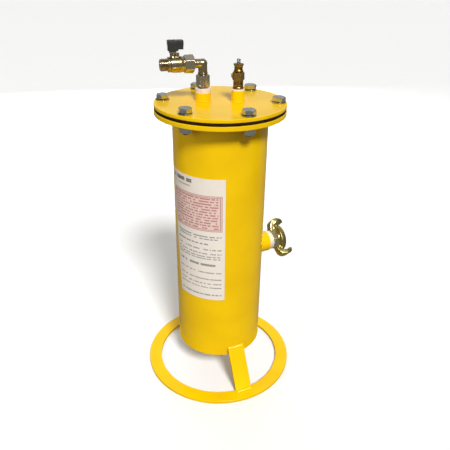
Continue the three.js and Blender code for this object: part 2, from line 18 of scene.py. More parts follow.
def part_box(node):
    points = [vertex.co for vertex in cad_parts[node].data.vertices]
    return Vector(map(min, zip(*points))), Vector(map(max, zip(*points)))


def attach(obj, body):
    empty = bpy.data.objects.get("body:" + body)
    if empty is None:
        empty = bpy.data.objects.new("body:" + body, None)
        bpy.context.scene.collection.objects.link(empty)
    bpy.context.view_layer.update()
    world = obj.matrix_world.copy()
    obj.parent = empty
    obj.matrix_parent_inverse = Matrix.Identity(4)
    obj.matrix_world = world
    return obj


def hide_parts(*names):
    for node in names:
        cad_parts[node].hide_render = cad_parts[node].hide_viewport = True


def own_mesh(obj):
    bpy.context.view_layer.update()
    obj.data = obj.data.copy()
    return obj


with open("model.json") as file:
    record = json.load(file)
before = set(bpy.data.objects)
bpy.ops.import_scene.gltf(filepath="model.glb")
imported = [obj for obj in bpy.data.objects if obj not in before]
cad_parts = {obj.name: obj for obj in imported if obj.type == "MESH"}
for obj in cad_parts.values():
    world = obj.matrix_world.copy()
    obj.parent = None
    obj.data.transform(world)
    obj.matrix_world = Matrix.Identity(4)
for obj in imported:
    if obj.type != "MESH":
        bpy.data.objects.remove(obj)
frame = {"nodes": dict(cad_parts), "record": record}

LOG = logging.getLogger("line_filter")
MM = 0.001
ON_AXIS = 1e-6
HERE = Matrix.Identity(4)

Point = tuple[float, float]
Corner = tuple[float, float, float]
Colour = tuple[float, float, float]
Place = tuple[float, float, float]
Wobble = Callable[[float, float, float], Point]


@dataclass(frozen=True)
class PipeThread:
    """Depth and pitch of a parallel pipe thread, with the radius over its crests."""

    radius: float
    depth: float
    pitch: float


QUARTER_INCH = PipeThread(6.5, 0.8, 1.337)
HALF_INCH = PipeThread(13.2, 0.9, 1.81)


class Facets(IntEnum):
    """How many flats go round a full turn."""

    LARGE = 192
    FITTING = 96
    SMALL = 48
    WIRE = 12


class Body(Enum):
    """The bodies that pieces ride on."""

    VESSEL = "vessel"
    VALVE_TURN = "valve_turn"
    RELIEF_PULL = "relief_pull"


class Blend(Enum):
    """How a cutting or joining body is used."""

    CUT = "DIFFERENCE"
    JOIN = "UNION"


# ---------- places and outlines ----------


def at(x: float, y: float, z: float = 0.0) -> Matrix:
    """A shift in millimetres."""
    return Matrix.Translation((x, y, z))


def spin(degrees: float) -> Matrix:
    """A turn about +Z."""
    return Matrix.Rotation(math.radians(degrees), 4, "Z")


def lay_down() -> Matrix:
    """Lays what was made along +Z onto +X, with its own +X pointing down."""
    return Matrix.Rotation(math.radians(90), 4, "Y")


def box_mm(node: str) -> tuple[Vector, Vector]:
    """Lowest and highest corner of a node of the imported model, in millimetres."""
    low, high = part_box(node)
    return low / MM, high / MM


def rounded(corners: Sequence[Corner], steps: int = 4, keep: float = 0.25) -> list[Point]:
    """Rounds the corners of a closed outline.

    Args:
        corners: x, y and the radius wanted at each corner.
        steps: Straight pieces in each round corner.
        keep: Length next to a round corner that is kept flat with it, for clean shading.

    Returns:
        The outline's points, in order.
    """
    points: list[Point] = []
    count = len(corners)
    for i, (x, y, radius) in enumerate(corners):
        here = Vector((x, y))
        if radius <= 0:
            points.append((x, y))
            continue
        back = Vector(corners[i - 1][:2]) - here
        ahead = Vector(corners[(i + 1) % count][:2]) - here
        room = 0.45 * min(back.length, ahead.length)
        back.normalize()
        ahead.normalize()
        half = math.acos(max(-1.0, min(1.0, back.dot(ahead)))) / 2
        reach = min(radius / max(math.tan(half), 1e-3), room)
        flat = min(keep, room - reach)
        start = here + back * reach
        end = here + ahead * reach
        if flat > 0.02:
            points.append(tuple(start + back * flat))
        for k in range(steps + 1):
            t = k / steps
            bend = start * (1 - t) ** 2 + here * 2 * t * (1 - t) + end * t**2
            points.append(tuple(bend))
        if flat > 0.02:
            points.append(tuple(end + ahead * flat))
    return points


def ring_outline(
    inner: float, outer: float, bottom: float, top: float, edge: float = 0.5
) -> list[Point]:
    """Section of a flat ring with eased edges, as radius and height."""
    return rounded([
        (inner, bottom, edge), (outer, bottom, edge), (outer, top, edge), (inner, top, edge),
    ])


def disc_outline(radius: float, bottom: float, top: float, edge: float = 0.5) -> list[Point]:
    """Section of a round plate with eased edges, as radius and height."""
    return rounded([(0, bottom, 0), (radius, bottom, edge), (radius, top, edge), (0, top, 0)])


def bump_at(point: Vector, pitch: float, height: float) -> float:
    """A smooth hill or hollow that depends only on the place."""
    return height * noise.noise(point / pitch)


class Shape:
    """A closed mesh under construction, in millimetres."""

    def __init__(self) -> None:
        """Starts empty."""
        self.bm = bmesh.new()

    def _skin(self, rings: Sequence[Sequence[bmesh.types.BMVert]], closed: bool) -> None:
        """Joins rings of points, one after the other, with faces.

        Args:
            rings: Rings with equal counts, or with one point where they close up.
            closed: True if the last ring joins the first.
        """
        last = len(rings) if closed else len(rings) - 1
        for i in range(last):
            a = rings[i]
            b = rings[(i + 1) % len(rings)]
            count = max(len(a), len(b))
            if count == 1:
                continue
            for k in range(count):
                j = (k + 1) % count
                corners = [a[k % len(a)], a[j % len(a)], b[j % len(b)], b[k % len(b)]]
                self.bm.faces.new(list(dict.fromkeys(corners)))

    def turn(
        self,
        outline: Sequence[Point],
        facets: int = Facets.FITTING,
        place: Matrix = HERE,
        wobble: Wobble | None = None,
    ) -> "Shape":
        """Turns an outline about the place's +Z.

        Args:
            outline: Radius and height of each point; it closes on itself or on the axis.
            facets: Flats in a full turn.
            place: Where the turned body goes.
            wobble: Gives a point's own radius and height from its angle, radius and height.

        Returns:
            This shape.
        """
        rings = []
        for radius, height in outline:
            if radius < ON_AXIS:
                rings.append([self.bm.verts.new(place @ Vector((0, 0, height)))])
                continue
            ring = []
            for k in range(facets):
                angle = math.tau * k / facets
                r, z = wobble(angle, radius, height) if wobble else (radius, height)
                point = Vector((r * math.cos(angle), r * math.sin(angle), z))
                ring.append(self.bm.verts.new(place @ point))
            rings.append(ring)
        self._skin(rings, closed=True)
        return self

    def hexagon(
        self,
        across: float,
        bottom: float,
        top: float,
        bore: float = 0.0,
        place: Matrix = HERE,
        soft: float = 0.96,
    ) -> "Shape":
        """A hexagon with its corners turned off at both ends, as on a bolt head.

        Args:
            across: Size across the flats.
            bottom: Height of the lower face.
            top: Height of the upper face.
            bore: Radius of the hole, or 0.
            place: Where it goes.
            soft: Radius of the turned end face, as a share of half the size across flats.

        Returns:
            This shape.
        """
        flat = across / 2
        face = soft * flat
        middle = (bottom + top) / 2
        slope = math.tan(math.radians(30))

        def corner(angle: float, radius: float, height: float) -> Point:
            """Pushes the outer points out to the flats and down the chamfer.

            Args:
                angle: Angle about the axis.
                radius: Radius of the point on the outline.
                height: Its height.

            Returns:
                The point's own radius and height.
            """
            if radius < flat - ON_AXIS:
                return radius, height
            folded = angle % (math.pi / 3) - math.pi / 6
            reach = min(flat / math.cos(folded), flat * 1.135)
            drop = (reach - face) * slope
            return reach, (bottom + drop if height < middle else top - drop)

        outline = [
            (bore, bottom), (face * 0.97, bottom), (face, bottom), (flat, bottom), (flat, top),
            (face, top), (face * 0.97, top), (bore, top),
        ]
        return self.turn(outline, Facets.FITTING, place, corner)

    def thread(
        self,
        radius: float,
        depth: float,
        pitch: float,
        bottom: float,
        top: float,
        bore: float = 0.0,
        place: Matrix = HERE,
    ) -> "Shape":
        """A right-hand screw thread, fading out at both ends.

        Args:
            radius: Radius over the crests.
            depth: Height of the crests over the roots.
            pitch: Distance from crest to crest.
            bottom: Height of the lower end.
            top: Height of the upper end.
            bore: Radius of the hole, or 0.
            place: Where it goes.

        Returns:
            This shape.
        """
        rows = max(4, round((top - bottom) / pitch * 6))
        heights = [bottom + (top - bottom) * k / rows for k in range(rows + 1)]

        def crest(angle: float, out: float, height: float) -> Point:
            """Radius of the thread's flank at an angle and a height.

            Args:
                angle: Angle about the axis.
                out: Radius of the point on the outline.
                height: Its height.

            Returns:
                The point's own radius and height.
            """
            if out < radius - ON_AXIS:
                return out, height
            phase = (height / pitch - angle / math.tau) % 1.0
            rise = max(0.0, min(1.0, 1.5 - abs(phase - 0.5) * 3.6))
            fade = min(1.0, (height - bottom) / pitch, (top - height) / pitch)
            return radius - depth * (1 - rise * max(fade, 0.0)), height

        outline = [(bore, bottom), *[(radius, z) for z in heights], (bore, top)]
        return self.turn(outline, Facets.FITTING, place, crest)

    def sweep(
        self,
        path: Sequence[Vector],
        section: Callable[[float], Sequence[Point]],
        up: Vector,
        closed: bool = False,
    ) -> "Shape":
        """Carries a section along a path.

        Args:
            path: The points that the section's origin passes through.
            section: Gives the section's points, from the share of the path passed.
            up: A direction that is never along the path; the section's +Y leans to it.
            closed: True if the path returns to its start.

        Returns:
            This shape.
        """
        rings = []
        count = len(path)
        for i, here in enumerate(path):
            before = path[i - 1] if closed or i > 0 else here
            after = path[(i + 1) % count] if closed or i < count - 1 else here
            along = (after - before).normalized()
            side = along.cross(up).normalized()
            lift = side.cross(along)
            share = i / count if closed else i / (count - 1)
            rings.append([self.bm.verts.new(here + side * x + lift * y) for x, y in section(share)])
        self._skin(rings, closed)
        if not closed:
            self.bm.faces.new(rings[0])
            self.bm.faces.new(rings[-1])
        return self

    def prism(
        self,
        outline: Sequence[Point],
        bottom: float,
        top: float,
        edge: float = 0.5,
        place: Matrix = HERE,
        steps: int = 3,
    ) -> "Shape":
        """A flat shape with eased edges, standing on its outline.

        Args:
            outline: Points in order, with round corners already in them.
            bottom: Height of the lower face.
            top: Height of the upper face.
            edge: Radius of the eased edges.
            place: Where it goes.
            steps: Straight pieces in each eased edge.

        Returns:
            This shape.
        """
        points = [Vector(p) for p in outline]
        count = len(points)
        area = sum(points[i - 1].cross(points[i]) for i in range(count))
        inward = []
        for i in range(count):
            along = (points[(i + 1) % count] - points[i - 1]).normalized()
            inward.append(Vector((-along.y, along.x)) * math.copysign(1, area))
        layers = [(bottom, edge + 0.3)]
        for k in range(steps + 1):
            angle = k / steps * math.pi / 2
            layers.append((bottom + edge * (1 - math.sin(angle)), edge * (1 - math.cos(angle))))
        layers = [layers[0], *sorted(layers[1:], key=lambda layer: layer[0])]
        upper = [(bottom + top - z, inset) for z, inset in reversed(layers)]
        rings = []
        for z, inset in layers + upper:
            ring = [points[i] + inward[i] * inset for i in range(count)]
            rings.append([self.bm.verts.new(place @ Vector((p.x, p.y, z))) for p in ring])
        self._skin(rings, closed=False)
        self.bm.faces.new(rings[0])
        self.bm.faces.new(rings[-1])
        return self

    def as_object(self, name: str) -> bpy.types.Object:
        """Makes a linked object of the mesh as it stands.

        Args:
            name: The object's name.

        Returns:
            The object.
        """
        bmesh.ops.recalc_face_normals(self.bm, faces=self.bm.faces)
        mesh = bpy.data.meshes.new(name)
        self.bm.to_mesh(mesh)
        made = bpy.data.objects.new(name, mesh)
        bpy.context.scene.collection.objects.link(made)
        return made

    def _take(self, worked: bpy.types.Object) -> None:
        """Reads the mesh back from an object, with its modifiers applied, and removes it.

        Args:
            worked: The object.
        """
        graph = bpy.context.evaluated_depsgraph_get()
        mesh = bpy.data.meshes.new_from_object(worked.evaluated_get(graph))
        self.bm.clear()
        self.bm.from_mesh(mesh)
        bpy.data.objects.remove(worked)
        bpy.data.meshes.remove(mesh)

    def coil(self, radius: float, wire: float, low: float, high: float, turns: int) -> "Shape":
        """Winds a round wire into a spring about +Z.

        Args:
            radius: From the axis to the middle of the wire.
            wire: Radius of the wire.
            low: Height of the spring's lower end.
            high: Height of its upper end.
            turns: Full turns from end to end.

        Returns:
            This shape.
        """
        steps = 28
        total = turns * steps
        rings = []
        for i in range(total + 1):
            angle = math.tau * i / steps
            out = Vector((math.cos(angle), math.sin(angle), 0))
            height = low + wire + (high - low - 2 * wire) * i / total
            middle = radius * out + Vector((0, 0, height))
            ring = []
            for k in range(Facets.WIRE):
                side = math.tau * k / Facets.WIRE
                edge = wire * math.cos(side) * out + Vector((0, 0, wire * math.sin(side)))
                ring.append(self.bm.verts.new(middle + edge))
            if i == 0:
                rings.append([self.bm.verts.new(middle)])
            rings.append(ring)
            if i == total:
                rings.append([self.bm.verts.new(middle)])
        self._skin(rings, closed=False)
        return self

    def blend(self, other: "Shape", how: Blend) -> "Shape":
        """Joins another shape to this one, or cuts it away.

        Args:
            other: The other shape; it is used up.
            how: Whether it is joined or cut away.

        Returns:
            This shape.
        """
        worked = self.as_object("worked")
        tool = other.as_object("tool")
        modifier = worked.modifiers.new("blend", "BOOLEAN")
        modifier.object = tool
        modifier.operation = how.value
        modifier.solver = "EXACT"
        self._take(worked)
        bpy.data.objects.remove(tool)
        return self

    def cast(self, grain: float, smoothing: int) -> "Shape":
        """Melts everything into one skin with soft corners, as a casting has.

        Args:
            grain: Size of the new skin's faces.
            smoothing: How many times the skin is smoothed.

        Returns:
            This shape.
        """
        worked = self.as_object("worked")
        skin = worked.modifiers.new("skin", "REMESH")
        skin.mode = "VOXEL"
        skin.voxel_size = grain
        soft = worked.modifiers.new("soft", "SMOOTH")
        soft.factor = 0.5
        soft.iterations = smoothing
        self._take(worked)
        return self

    def roughen(self, pitch: float, height: float) -> "Shape":
        """Moves every point a little, as hand work or casting leaves it.

        Args:
            pitch: Width of the unevenness.
            height: How far a point may move.

        Returns:
            This shape.
        """
        self.bm.normal_update()
        for vertex in self.bm.verts:
            vertex.co += vertex.normal * bump_at(vertex.co, pitch, height)
        return self

    def piece(
        self,
        name: str,
        finish: "Finish",
        body: Body = Body.VESSEL,
        stands_for: Sequence[str] = (),
        place: Matrix = HERE,
        sharp: float = 38.0,
    ) -> bpy.types.Object:
        """Turns the shape into a piece of the object.

        Args:
            name: The piece's name.
            finish: Its finish.
            body: What it rides on.
            stands_for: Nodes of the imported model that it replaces.
            place: A last move, in millimetres.
            sharp: Edges that turn more than this many degrees stay sharp.

        Returns:
            The piece.
        """
        if not self.bm.faces:
            raise ValueError(f"{name} has no faces left")
        made = self.as_object(name)
        made.data.transform(Matrix.Scale(MM, 4) @ place)
        made.data.shade_smooth()
        made.data.set_sharp_from_angle(angle=math.radians(sharp))
        made.data.materials.append(finish.material())
        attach(made, body.value)
        if stands_for:
            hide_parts(*stands_for)
        return made


# ---------- finishes ----------


class Nodes:
    """Writes the node tree of one material."""

    def __init__(self, name: str) -> None:
        """Starts a material with one surface shader.

        Args:
            name: The material's name.
        """
        self.material = bpy.data.materials.new(name)
        self.material.use_nodes = True
        self.tree = self.material.node_tree
        self.shader = self.tree.nodes["Principled BSDF"]
        self.coords = self.tree.nodes.new("ShaderNodeTexCoord")

    def plug(self, socket: bpy.types.NodeSocket, value: object) -> None:
        """Links a socket, or sets it where the value is a number or a colour.

        Args:
            socket: The input that is fed.
            value: An output socket, a number or a colour.
        """
        if isinstance(value, bpy.types.NodeSocket):
            self.tree.links.new(value, socket)
        elif isinstance(value, tuple) and len(value) == 3 and socket.type == "RGBA":
            socket.default_value = (*value, 1.0)
        else:
            socket.default_value = value

    def noise(
        self,
        size_mm: float,
        detail: float = 3.0,
        stretch: Place = (1.0, 1.0, 1.0),
        rough: float = 0.5,
    ) -> bpy.types.NodeSocket:
        """Cloudy noise, from 0 to 1.

        Args:
            size_mm: Size of its clouds.
            detail: Octaves of finer noise in it.
            stretch: Its scale along each axis.
            rough: How strong the finer noise is.

        Returns:
            The noise's value.
        """
        mapping = self.tree.nodes.new("ShaderNodeMapping")
        mapping.inputs["Scale"].default_value = stretch
        self.tree.links.new(self.coords.outputs["Object"], mapping.inputs["Vector"])
        cloud = self.tree.nodes.new("ShaderNodeTexNoise")
        cloud.inputs["Scale"].default_value = 1 / (size_mm * MM)
        cloud.inputs["Detail"].default_value = detail
        cloud.inputs["Roughness"].default_value = rough
        self.tree.links.new(mapping.outputs["Vector"], cloud.inputs["Vector"])
        return cloud.outputs["Fac"]

    def span(
        self, value: bpy.types.NodeSocket, low: float, high: float, to: Point = (0.0, 1.0)
    ) -> bpy.types.NodeSocket:
        """Maps a value's range from low to high onto another range, and clamps it.

        Args:
            value: The value.
            low: Where its range starts.
            high: Where its range ends.
            to: The range it is mapped onto.

        Returns:
            The mapped value.
        """
        mapped = self.tree.nodes.new("ShaderNodeMapRange")
        mapped.interpolation_type = "SMOOTHSTEP"
        self.tree.links.new(value, mapped.inputs["Value"])
        for name, number in zip(("From Min", "From Max", "To Min", "To Max"), (low, high, *to)):
            mapped.inputs[name].default_value = number
        return mapped.outputs["Result"]

    def math(self, rule: str, first: object, second: object = 0.0) -> bpy.types.NodeSocket:
        """One sum, product or comparison.

        Args:
            rule: The operation's name.
            first: First number or socket.
            second: Second number or socket.

        Returns:
            The result.
        """
        step = self.tree.nodes.new("ShaderNodeMath")
        step.operation = rule
        self.plug(step.inputs[0], first)
        self.plug(step.inputs[1], second)
        return step.outputs[0]

    def mix(self, share: object, first: object, second: object) -> bpy.types.NodeSocket:
        """A colour between two, by share.

        Args:
            share: 0 for the first colour and 1 for the second.
            first: First colour.
            second: Second colour.

        Returns:
            The mixed colour.
        """
        mixed = self.tree.nodes.new("ShaderNodeMix")
        mixed.data_type = "RGBA"
        self.plug(mixed.inputs[0], share)
        self.plug(mixed.inputs[6], first)
        self.plug(mixed.inputs[7], second)
        return mixed.outputs[2]

    def edges(self, low: float, high: float) -> bpy.types.NodeSocket:
        """Where the surface is a convex edge, from 0 to 1."""
        geometry = self.tree.nodes.new("ShaderNodeNewGeometry")
        return self.span(geometry.outputs["Pointiness"], low, high)

    def bump(
        self, height: bpy.types.NodeSocket, strength: float, depth_mm: float, under: object = None
    ) -> bpy.types.NodeSocket:
        """A normal that follows a height.

        Args:
            height: The height, from 0 to 1.
            strength: How strongly it shows.
            depth_mm: Height that 1 stands for.
            under: A normal that it adds to.

        Returns:
            The normal.
        """
        relief = self.tree.nodes.new("ShaderNodeBump")
        relief.inputs["Strength"].default_value = strength
        relief.inputs["Distance"].default_value = depth_mm * MM
        self.tree.links.new(height, relief.inputs["Height"])
        if under is not None:
            self.tree.links.new(under, relief.inputs["Normal"])
        return relief.outputs["Normal"]

    def surface(self, **inputs: object) -> None:
        """Sets or links the surface shader's inputs, with _ for each space."""
        for name, value in inputs.items():
            self.plug(self.shader.inputs[name.replace("_", " ")], value)


@dataclass(frozen=True)
class Finish:
    """A finish, made into a material once, when it is first used."""

    name: str
    slot: str

    def material(self) -> bpy.types.Material:
        """The finish's material."""
        made = bpy.data.materials.get(self.name)
        if made is None:
            nodes = Nodes(self.name)
            self.dress(nodes)
            made = nodes.material
        return made

    def dress(self, nodes: Nodes) -> None:
        """Writes the nodes."""
        raise NotImplementedError


@dataclass(frozen=True)
class Enamel(Finish):
    """Glossy sprayed enamel, which may end in a band of bare turned metal whose near-white colour is partly
    its own and partly a painted reflection.
    """

    colour: Colour = (0.91, 0.570, 0.001)
    deep: Colour = (0.85, 0.510, 0.001)
    # Bare-band colours: near white, partly the metal's own tone and partly a painted reflection of bright
    # surroundings.
    steel_with_painted_reflection: Colour = (0.92, 0.79, 0.73)
    stain: Colour = (0.74, 0.60, 0.52)
    bare_above_mm: float | None = None
    bare_along: Place = (0.0, 0.0, 1.0)

    def dress(self, nodes: Nodes) -> None:
        """Writes paint with orange peel, thin spots and dust, and its bare end, coloured near white as a
        painted reflection.

        Args:
            nodes: Node tree that the finish is written in.
        """
        cloud = nodes.noise(60, 2)
        paint = nodes.mix(nodes.span(cloud, 0.3, 0.75), self.colour, self.deep)
        grime = nodes.span(nodes.noise(9, 6, rough=0.7), 0.62, 0.8, (0.0, 0.22))
        paint = nodes.mix(grime, paint, (0.42, 0.24, 0.03))
        peel = nodes.noise(2.2, 1.5)
        gloss = nodes.span(nodes.noise(18, 4), 0.35, 0.7, (0.16, 0.27))
        normal = nodes.bump(peel, 0.08, 0.05, nodes.bump(cloud, 0.06, 0.4))
        if self.bare_above_mm is None:
            nodes.surface(
                Base_Color=paint, Roughness=gloss, Normal=normal,
                Coat_Weight=0.06, Coat_Roughness=0.08, Specular_IOR_Level=0.25,
            )
            return
        place = nodes.tree.nodes.new("ShaderNodeVectorMath")
        place.operation = "DOT_PRODUCT"
        nodes.tree.links.new(nodes.coords.outputs["Object"], place.inputs[0])
        place.inputs[1].default_value = self.bare_along
        uneven = nodes.math("MULTIPLY", nodes.noise(3.0, 3), 0.9 * MM)
        height = nodes.math("ADD", place.outputs["Value"], uneven)
        start = self.bare_above_mm * MM
        bare = nodes.span(height, start, start + 0.25 * MM)
        rings = nodes.noise(0.5, 2, stretch=(0.02, 0.02, 1.0))
        # Bare band: a pale, mostly non-metallic colour, partly the metal's tone and partly a painted
        # reflection, with random darker stains.
        metal = nodes.mix(nodes.span(nodes.noise(4, 4), 0.4, 0.75), self.steel_with_painted_reflection, self.stain)
        rough = nodes.mix(bare, gloss, nodes.span(rings, 0.3, 0.7, (0.3, 0.45)))
        nodes.surface(
            Base_Color=nodes.mix(bare, paint, metal), Roughness=rough, Normal=normal,
            Metallic=nodes.math("MULTIPLY", bare, 0.25), Specular_IOR_Level=0.3,
        )


@dataclass(frozen=True)
class PlatedMetal(Finish):
    """Bright plating with spots of tarnish, handling marks and fine scratches."""

    colour: Colour = (0.60, 0.61, 0.60)
    tarnish: Colour = (0.36, 0.36, 0.33)
    worn: Colour = (0.78, 0.78, 0.76)
    low_rough: float = 0.22
    high_rough: float = 0.42
    tarnish_from: float = 0.5
    cast_bump: float = 0.0

    def dress(self, nodes: Nodes) -> None:
        """Writes the plating.

        Args:
            nodes: Node tree that the finish is written in.
        """
        spots = nodes.noise(3.2, 5, rough=0.65)
        stain = nodes.span(spots, self.tarnish_from - 0.12, self.tarnish_from + 0.18)
        base = nodes.mix(stain, self.colour, self.tarnish)
        base = nodes.mix(nodes.edges(0.52, 0.62), base, self.worn)
        scratch = nodes.noise(1.2, 4, stretch=(1.0, 0.25, 1.6))
        rough = nodes.span(
            nodes.math("ADD", nodes.math("MULTIPLY", spots, 0.6), nodes.math("MULTIPLY", scratch, 0.4)),
            0.35, 0.65, (self.low_rough, self.high_rough),
        )
        normal = nodes.bump(scratch, 0.12, 0.04)
        if self.cast_bump > 0:
            grain = nodes.noise(1.1, 3)
            normal = nodes.bump(grain, self.cast_bump, 0.25, normal)
        nodes.surface(Base_Color=base, Metallic=1.0, Roughness=rough, Normal=normal)


@dataclass(frozen=True)
class Moulded(Finish):
    """Moulded rubber or plastic with a fine matt grain, rubbed pale on its edges."""

    colour: Colour = (0.012, 0.012, 0.011)
    rubbed: Colour = (0.05, 0.05, 0.045)
    grain_mm: float = 0.5
    rough: float = 0.5
    shine: float = 0.3

    def dress(self, nodes: Nodes) -> None:
        """Writes the grain.

        Args:
            nodes: Node tree that the finish is written in.
        """
        dust = nodes.span(nodes.noise(5, 5, rough=0.65), 0.45, 0.8)
        base = nodes.mix(dust, self.colour, self.rubbed)
        base = nodes.mix(nodes.edges(0.54, 0.66), base, self.rubbed)
        grain = nodes.noise(self.grain_mm, 2)
        rough = nodes.span(nodes.noise(2, 3), 0.3, 0.7, (self.rough - 0.08, self.rough + 0.1))
        nodes.surface(
            Base_Color=base, Roughness=rough, Normal=nodes.bump(grain, 0.25, 0.06),
            Specular_IOR_Level=self.shine,
        )


@dataclass(frozen=True)
class Felt(Finish):
    """Pale needled felt."""

    colour: Colour = (0.68, 0.64, 0.55)

    def dress(self, nodes: Nodes) -> None:
        """Writes fibres and a soft sheen.

        Args:
            nodes: Node tree that the finish is written in.
        """
        fibre = nodes.noise(0.8, 6, stretch=(1.0, 1.0, 0.3), rough=0.7)
        base = nodes.mix(nodes.span(fibre, 0.3, 0.7), self.colour, (0.5, 0.46, 0.38))
        nodes.surface(
            Base_Color=base, Roughness=0.95, Sheen_Weight=0.3, Normal=nodes.bump(fibre, 0.6, 0.4)
        )


@dataclass(frozen=True)
class PrintRow:
    """Print on the label: a band of rows of dashes that stand for words."""

    top: float
    bottom: float
    pitch: float
    ink: Colour
    left: float = 5.0
    right: float = 79.0
    weight: float = 0.5
    word: float = 3.2


@dataclass(frozen=True)
class PrintedPaper(Finish):
    """A white printed sheet. Its coordinates count millimetres from its lower left corner."""

    paper: Colour = (0.86, 0.78, 0.69)
    tint: Colour = (0.76, 0.45, 0.40)
    red: Colour = (0.42, 0.10, 0.10)
    grey: Colour = (0.16, 0.16, 0.19)
    box_low: float = 121.8
    box_high: float = 178.9
    box_left: float = 3.5
    box_right: float = 80.0

    def rows(self) -> list[PrintRow]:
        """The bands of print, from the top of the sheet down."""
        text = [
            (113.6, 111.0), (109.4, 107.0), (91.4, 89.0), (84.2, 81.8), (79.0, 76.8), (75.2, 73.0),
            (50.6, 48.4), (38.6, 36.4), (30.2, 28.0), (23.4, 21.2), (10.0, 7.0),
        ]
        bands = [
            PrintRow(200.0, 194.2, 5.8, (0.03, 0.03, 0.04), right=40.0, weight=0.95, word=6.5),
            PrintRow(190.5, 188.0, 2.5, (0.50, 0.24, 0.12), right=37.0, weight=0.8),
            PrintRow(175.0, 126.0, 4.26, self.red, left=8.0, right=75.0),
            PrintRow(65.5, 61.0, 4.5, self.grey, right=70.0, weight=0.85, word=4.5),
            PrintRow(101.0, 98.0, 3.0, self.grey, right=60.0, weight=0.8),
        ]
        return bands + [PrintRow(top, low, top - low, self.grey, weight=0.8) for top, low in text]

    def dress(self, nodes: Nodes) -> None:
        """Writes the paper, its tinted box with a double frame, and the rows of print.

        Args:
            nodes: Node tree that the finish is written in.
        """
        split = nodes.tree.nodes.new("ShaderNodeSeparateXYZ")
        nodes.tree.links.new(nodes.coords.outputs["UV"], split.inputs[0])
        x, y = split.outputs[0], split.outputs[1]
        soil = nodes.span(nodes.noise(14, 5, rough=0.6), 0.45, 0.8, (0.0, 0.35))
        sheet = nodes.mix(soil, self.paper, (0.70, 0.66, 0.60))
        box = self.window(nodes, x, y, self.box_left, self.box_right, self.box_low, self.box_high)
        sheet = nodes.mix(nodes.math("MULTIPLY", box, 0.55), sheet, self.tint)
        for inset in (0.0, 2.2):
            sheet = nodes.mix(self.frame(nodes, x, y, inset), sheet, self.red)
        for row in self.rows():
            sheet = nodes.mix(self.words(nodes, x, y, row), sheet, row.ink)
        crease = nodes.noise(22, 3)
        nodes.surface(
            Base_Color=sheet,
            Roughness=nodes.span(nodes.noise(6, 3), 0.3, 0.7, (0.38, 0.55)),
            Normal=nodes.bump(crease, 0.25, 0.6),
            Coat_Weight=0.25, Coat_Roughness=0.25,
        )

    def window(
        self, nodes: Nodes, x: object, y: object, left: float, right: float, low: float, high: float
    ) -> bpy.types.NodeSocket:
        """1 inside a rectangle of the sheet, and 0 outside it.

        Args:
            nodes: Node tree that the sheet is written in.
            x: Place across the sheet, in millimetres.
            y: Place up the sheet, in millimetres.
            left: Left edge.
            right: Right edge.
            low: Lower edge.
            high: Upper edge.

        Returns:
            The mask.
        """
        middle_x, half_x = (left + right) / 2, (right - left) / 2
        middle_y, half_y = (low + high) / 2, (high - low) / 2
        across = nodes.math("COMPARE", x, middle_x)
        across.node.inputs[2].default_value = half_x
        upright = nodes.math("COMPARE", y, middle_y)
        upright.node.inputs[2].default_value = half_y
        return nodes.math("MULTIPLY", across, upright)

    def frame(self, nodes: Nodes, x: object, y: object, inset: float) -> bpy.types.NodeSocket:
        """1 on a thin line round the tinted box, set in by a little.

        Args:
            nodes: Node tree that the sheet is written in.
            x: Place across the sheet, in millimetres.
            y: Place up the sheet, in millimetres.
            inset: How far the line is set in.

        Returns:
            The mask.
        """
        line = 0.7
        edges = (
            self.box_left + inset, self.box_right - inset, self.box_low + inset, self.box_high - inset,
        )
        outer = self.window(nodes, x, y, *edges)
        inner = self.window(
            nodes, x, y, edges[0] + line, edges[1] - line, edges[2] + line, edges[3] - line
        )
        return nodes.math("SUBTRACT", outer, inner)

    def words(self, nodes: Nodes, x: object, y: object, row: PrintRow) -> bpy.types.NodeSocket:
        """How much ink a band of print leaves, from 0 to 1.

        Args:
            nodes: Node tree that the sheet is written in.
            x: Place across the sheet, in millimetres.
            y: Place up the sheet, in millimetres.
            row: The band of print.

        Returns:
            The share of ink.
        """
        inside = self.window(nodes, x, y, row.left, row.right, row.bottom, row.top)
        line = nodes.math("DIVIDE", nodes.math("SUBTRACT", row.top, y), row.pitch)
        number = nodes.math("FLOOR", line)
        part = nodes.math("FRACT", line)
        upright = nodes.math("LESS_THAN", part, row.weight)
        spread = nodes.tree.nodes.new("ShaderNodeCombineXYZ")
        nodes.plug(spread.inputs[0], nodes.math("DIVIDE", x, row.word))
        nodes.plug(spread.inputs[1], nodes.math("MULTIPLY", number, 7.31))
        spread.inputs[2].default_value = row.top
        dash = nodes.tree.nodes.new("ShaderNodeTexNoise")
        dash.inputs["Scale"].default_value = 1.0
        dash.inputs["Detail"].default_value = 0.0
        nodes.tree.links.new(spread.outputs[0], dash.inputs["Vector"])
        word = nodes.span(dash.outputs["Fac"], 0.40, 0.44)
        strokes = nodes.tree.nodes.new("ShaderNodeTexNoise")
        strokes.inputs["Scale"].default_value = 2.6
        strokes.inputs["Detail"].default_value = 1.0
        nodes.tree.links.new(nodes.coords.outputs["UV"], strokes.inputs["Vector"])
        letter = nodes.span(strokes.outputs["Fac"], 0.36, 0.56, (0.35, 1.0))
        ink = nodes.math("MULTIPLY", nodes.math("MULTIPLY", inside, upright), word)
        return nodes.math("MULTIPLY", ink, letter)


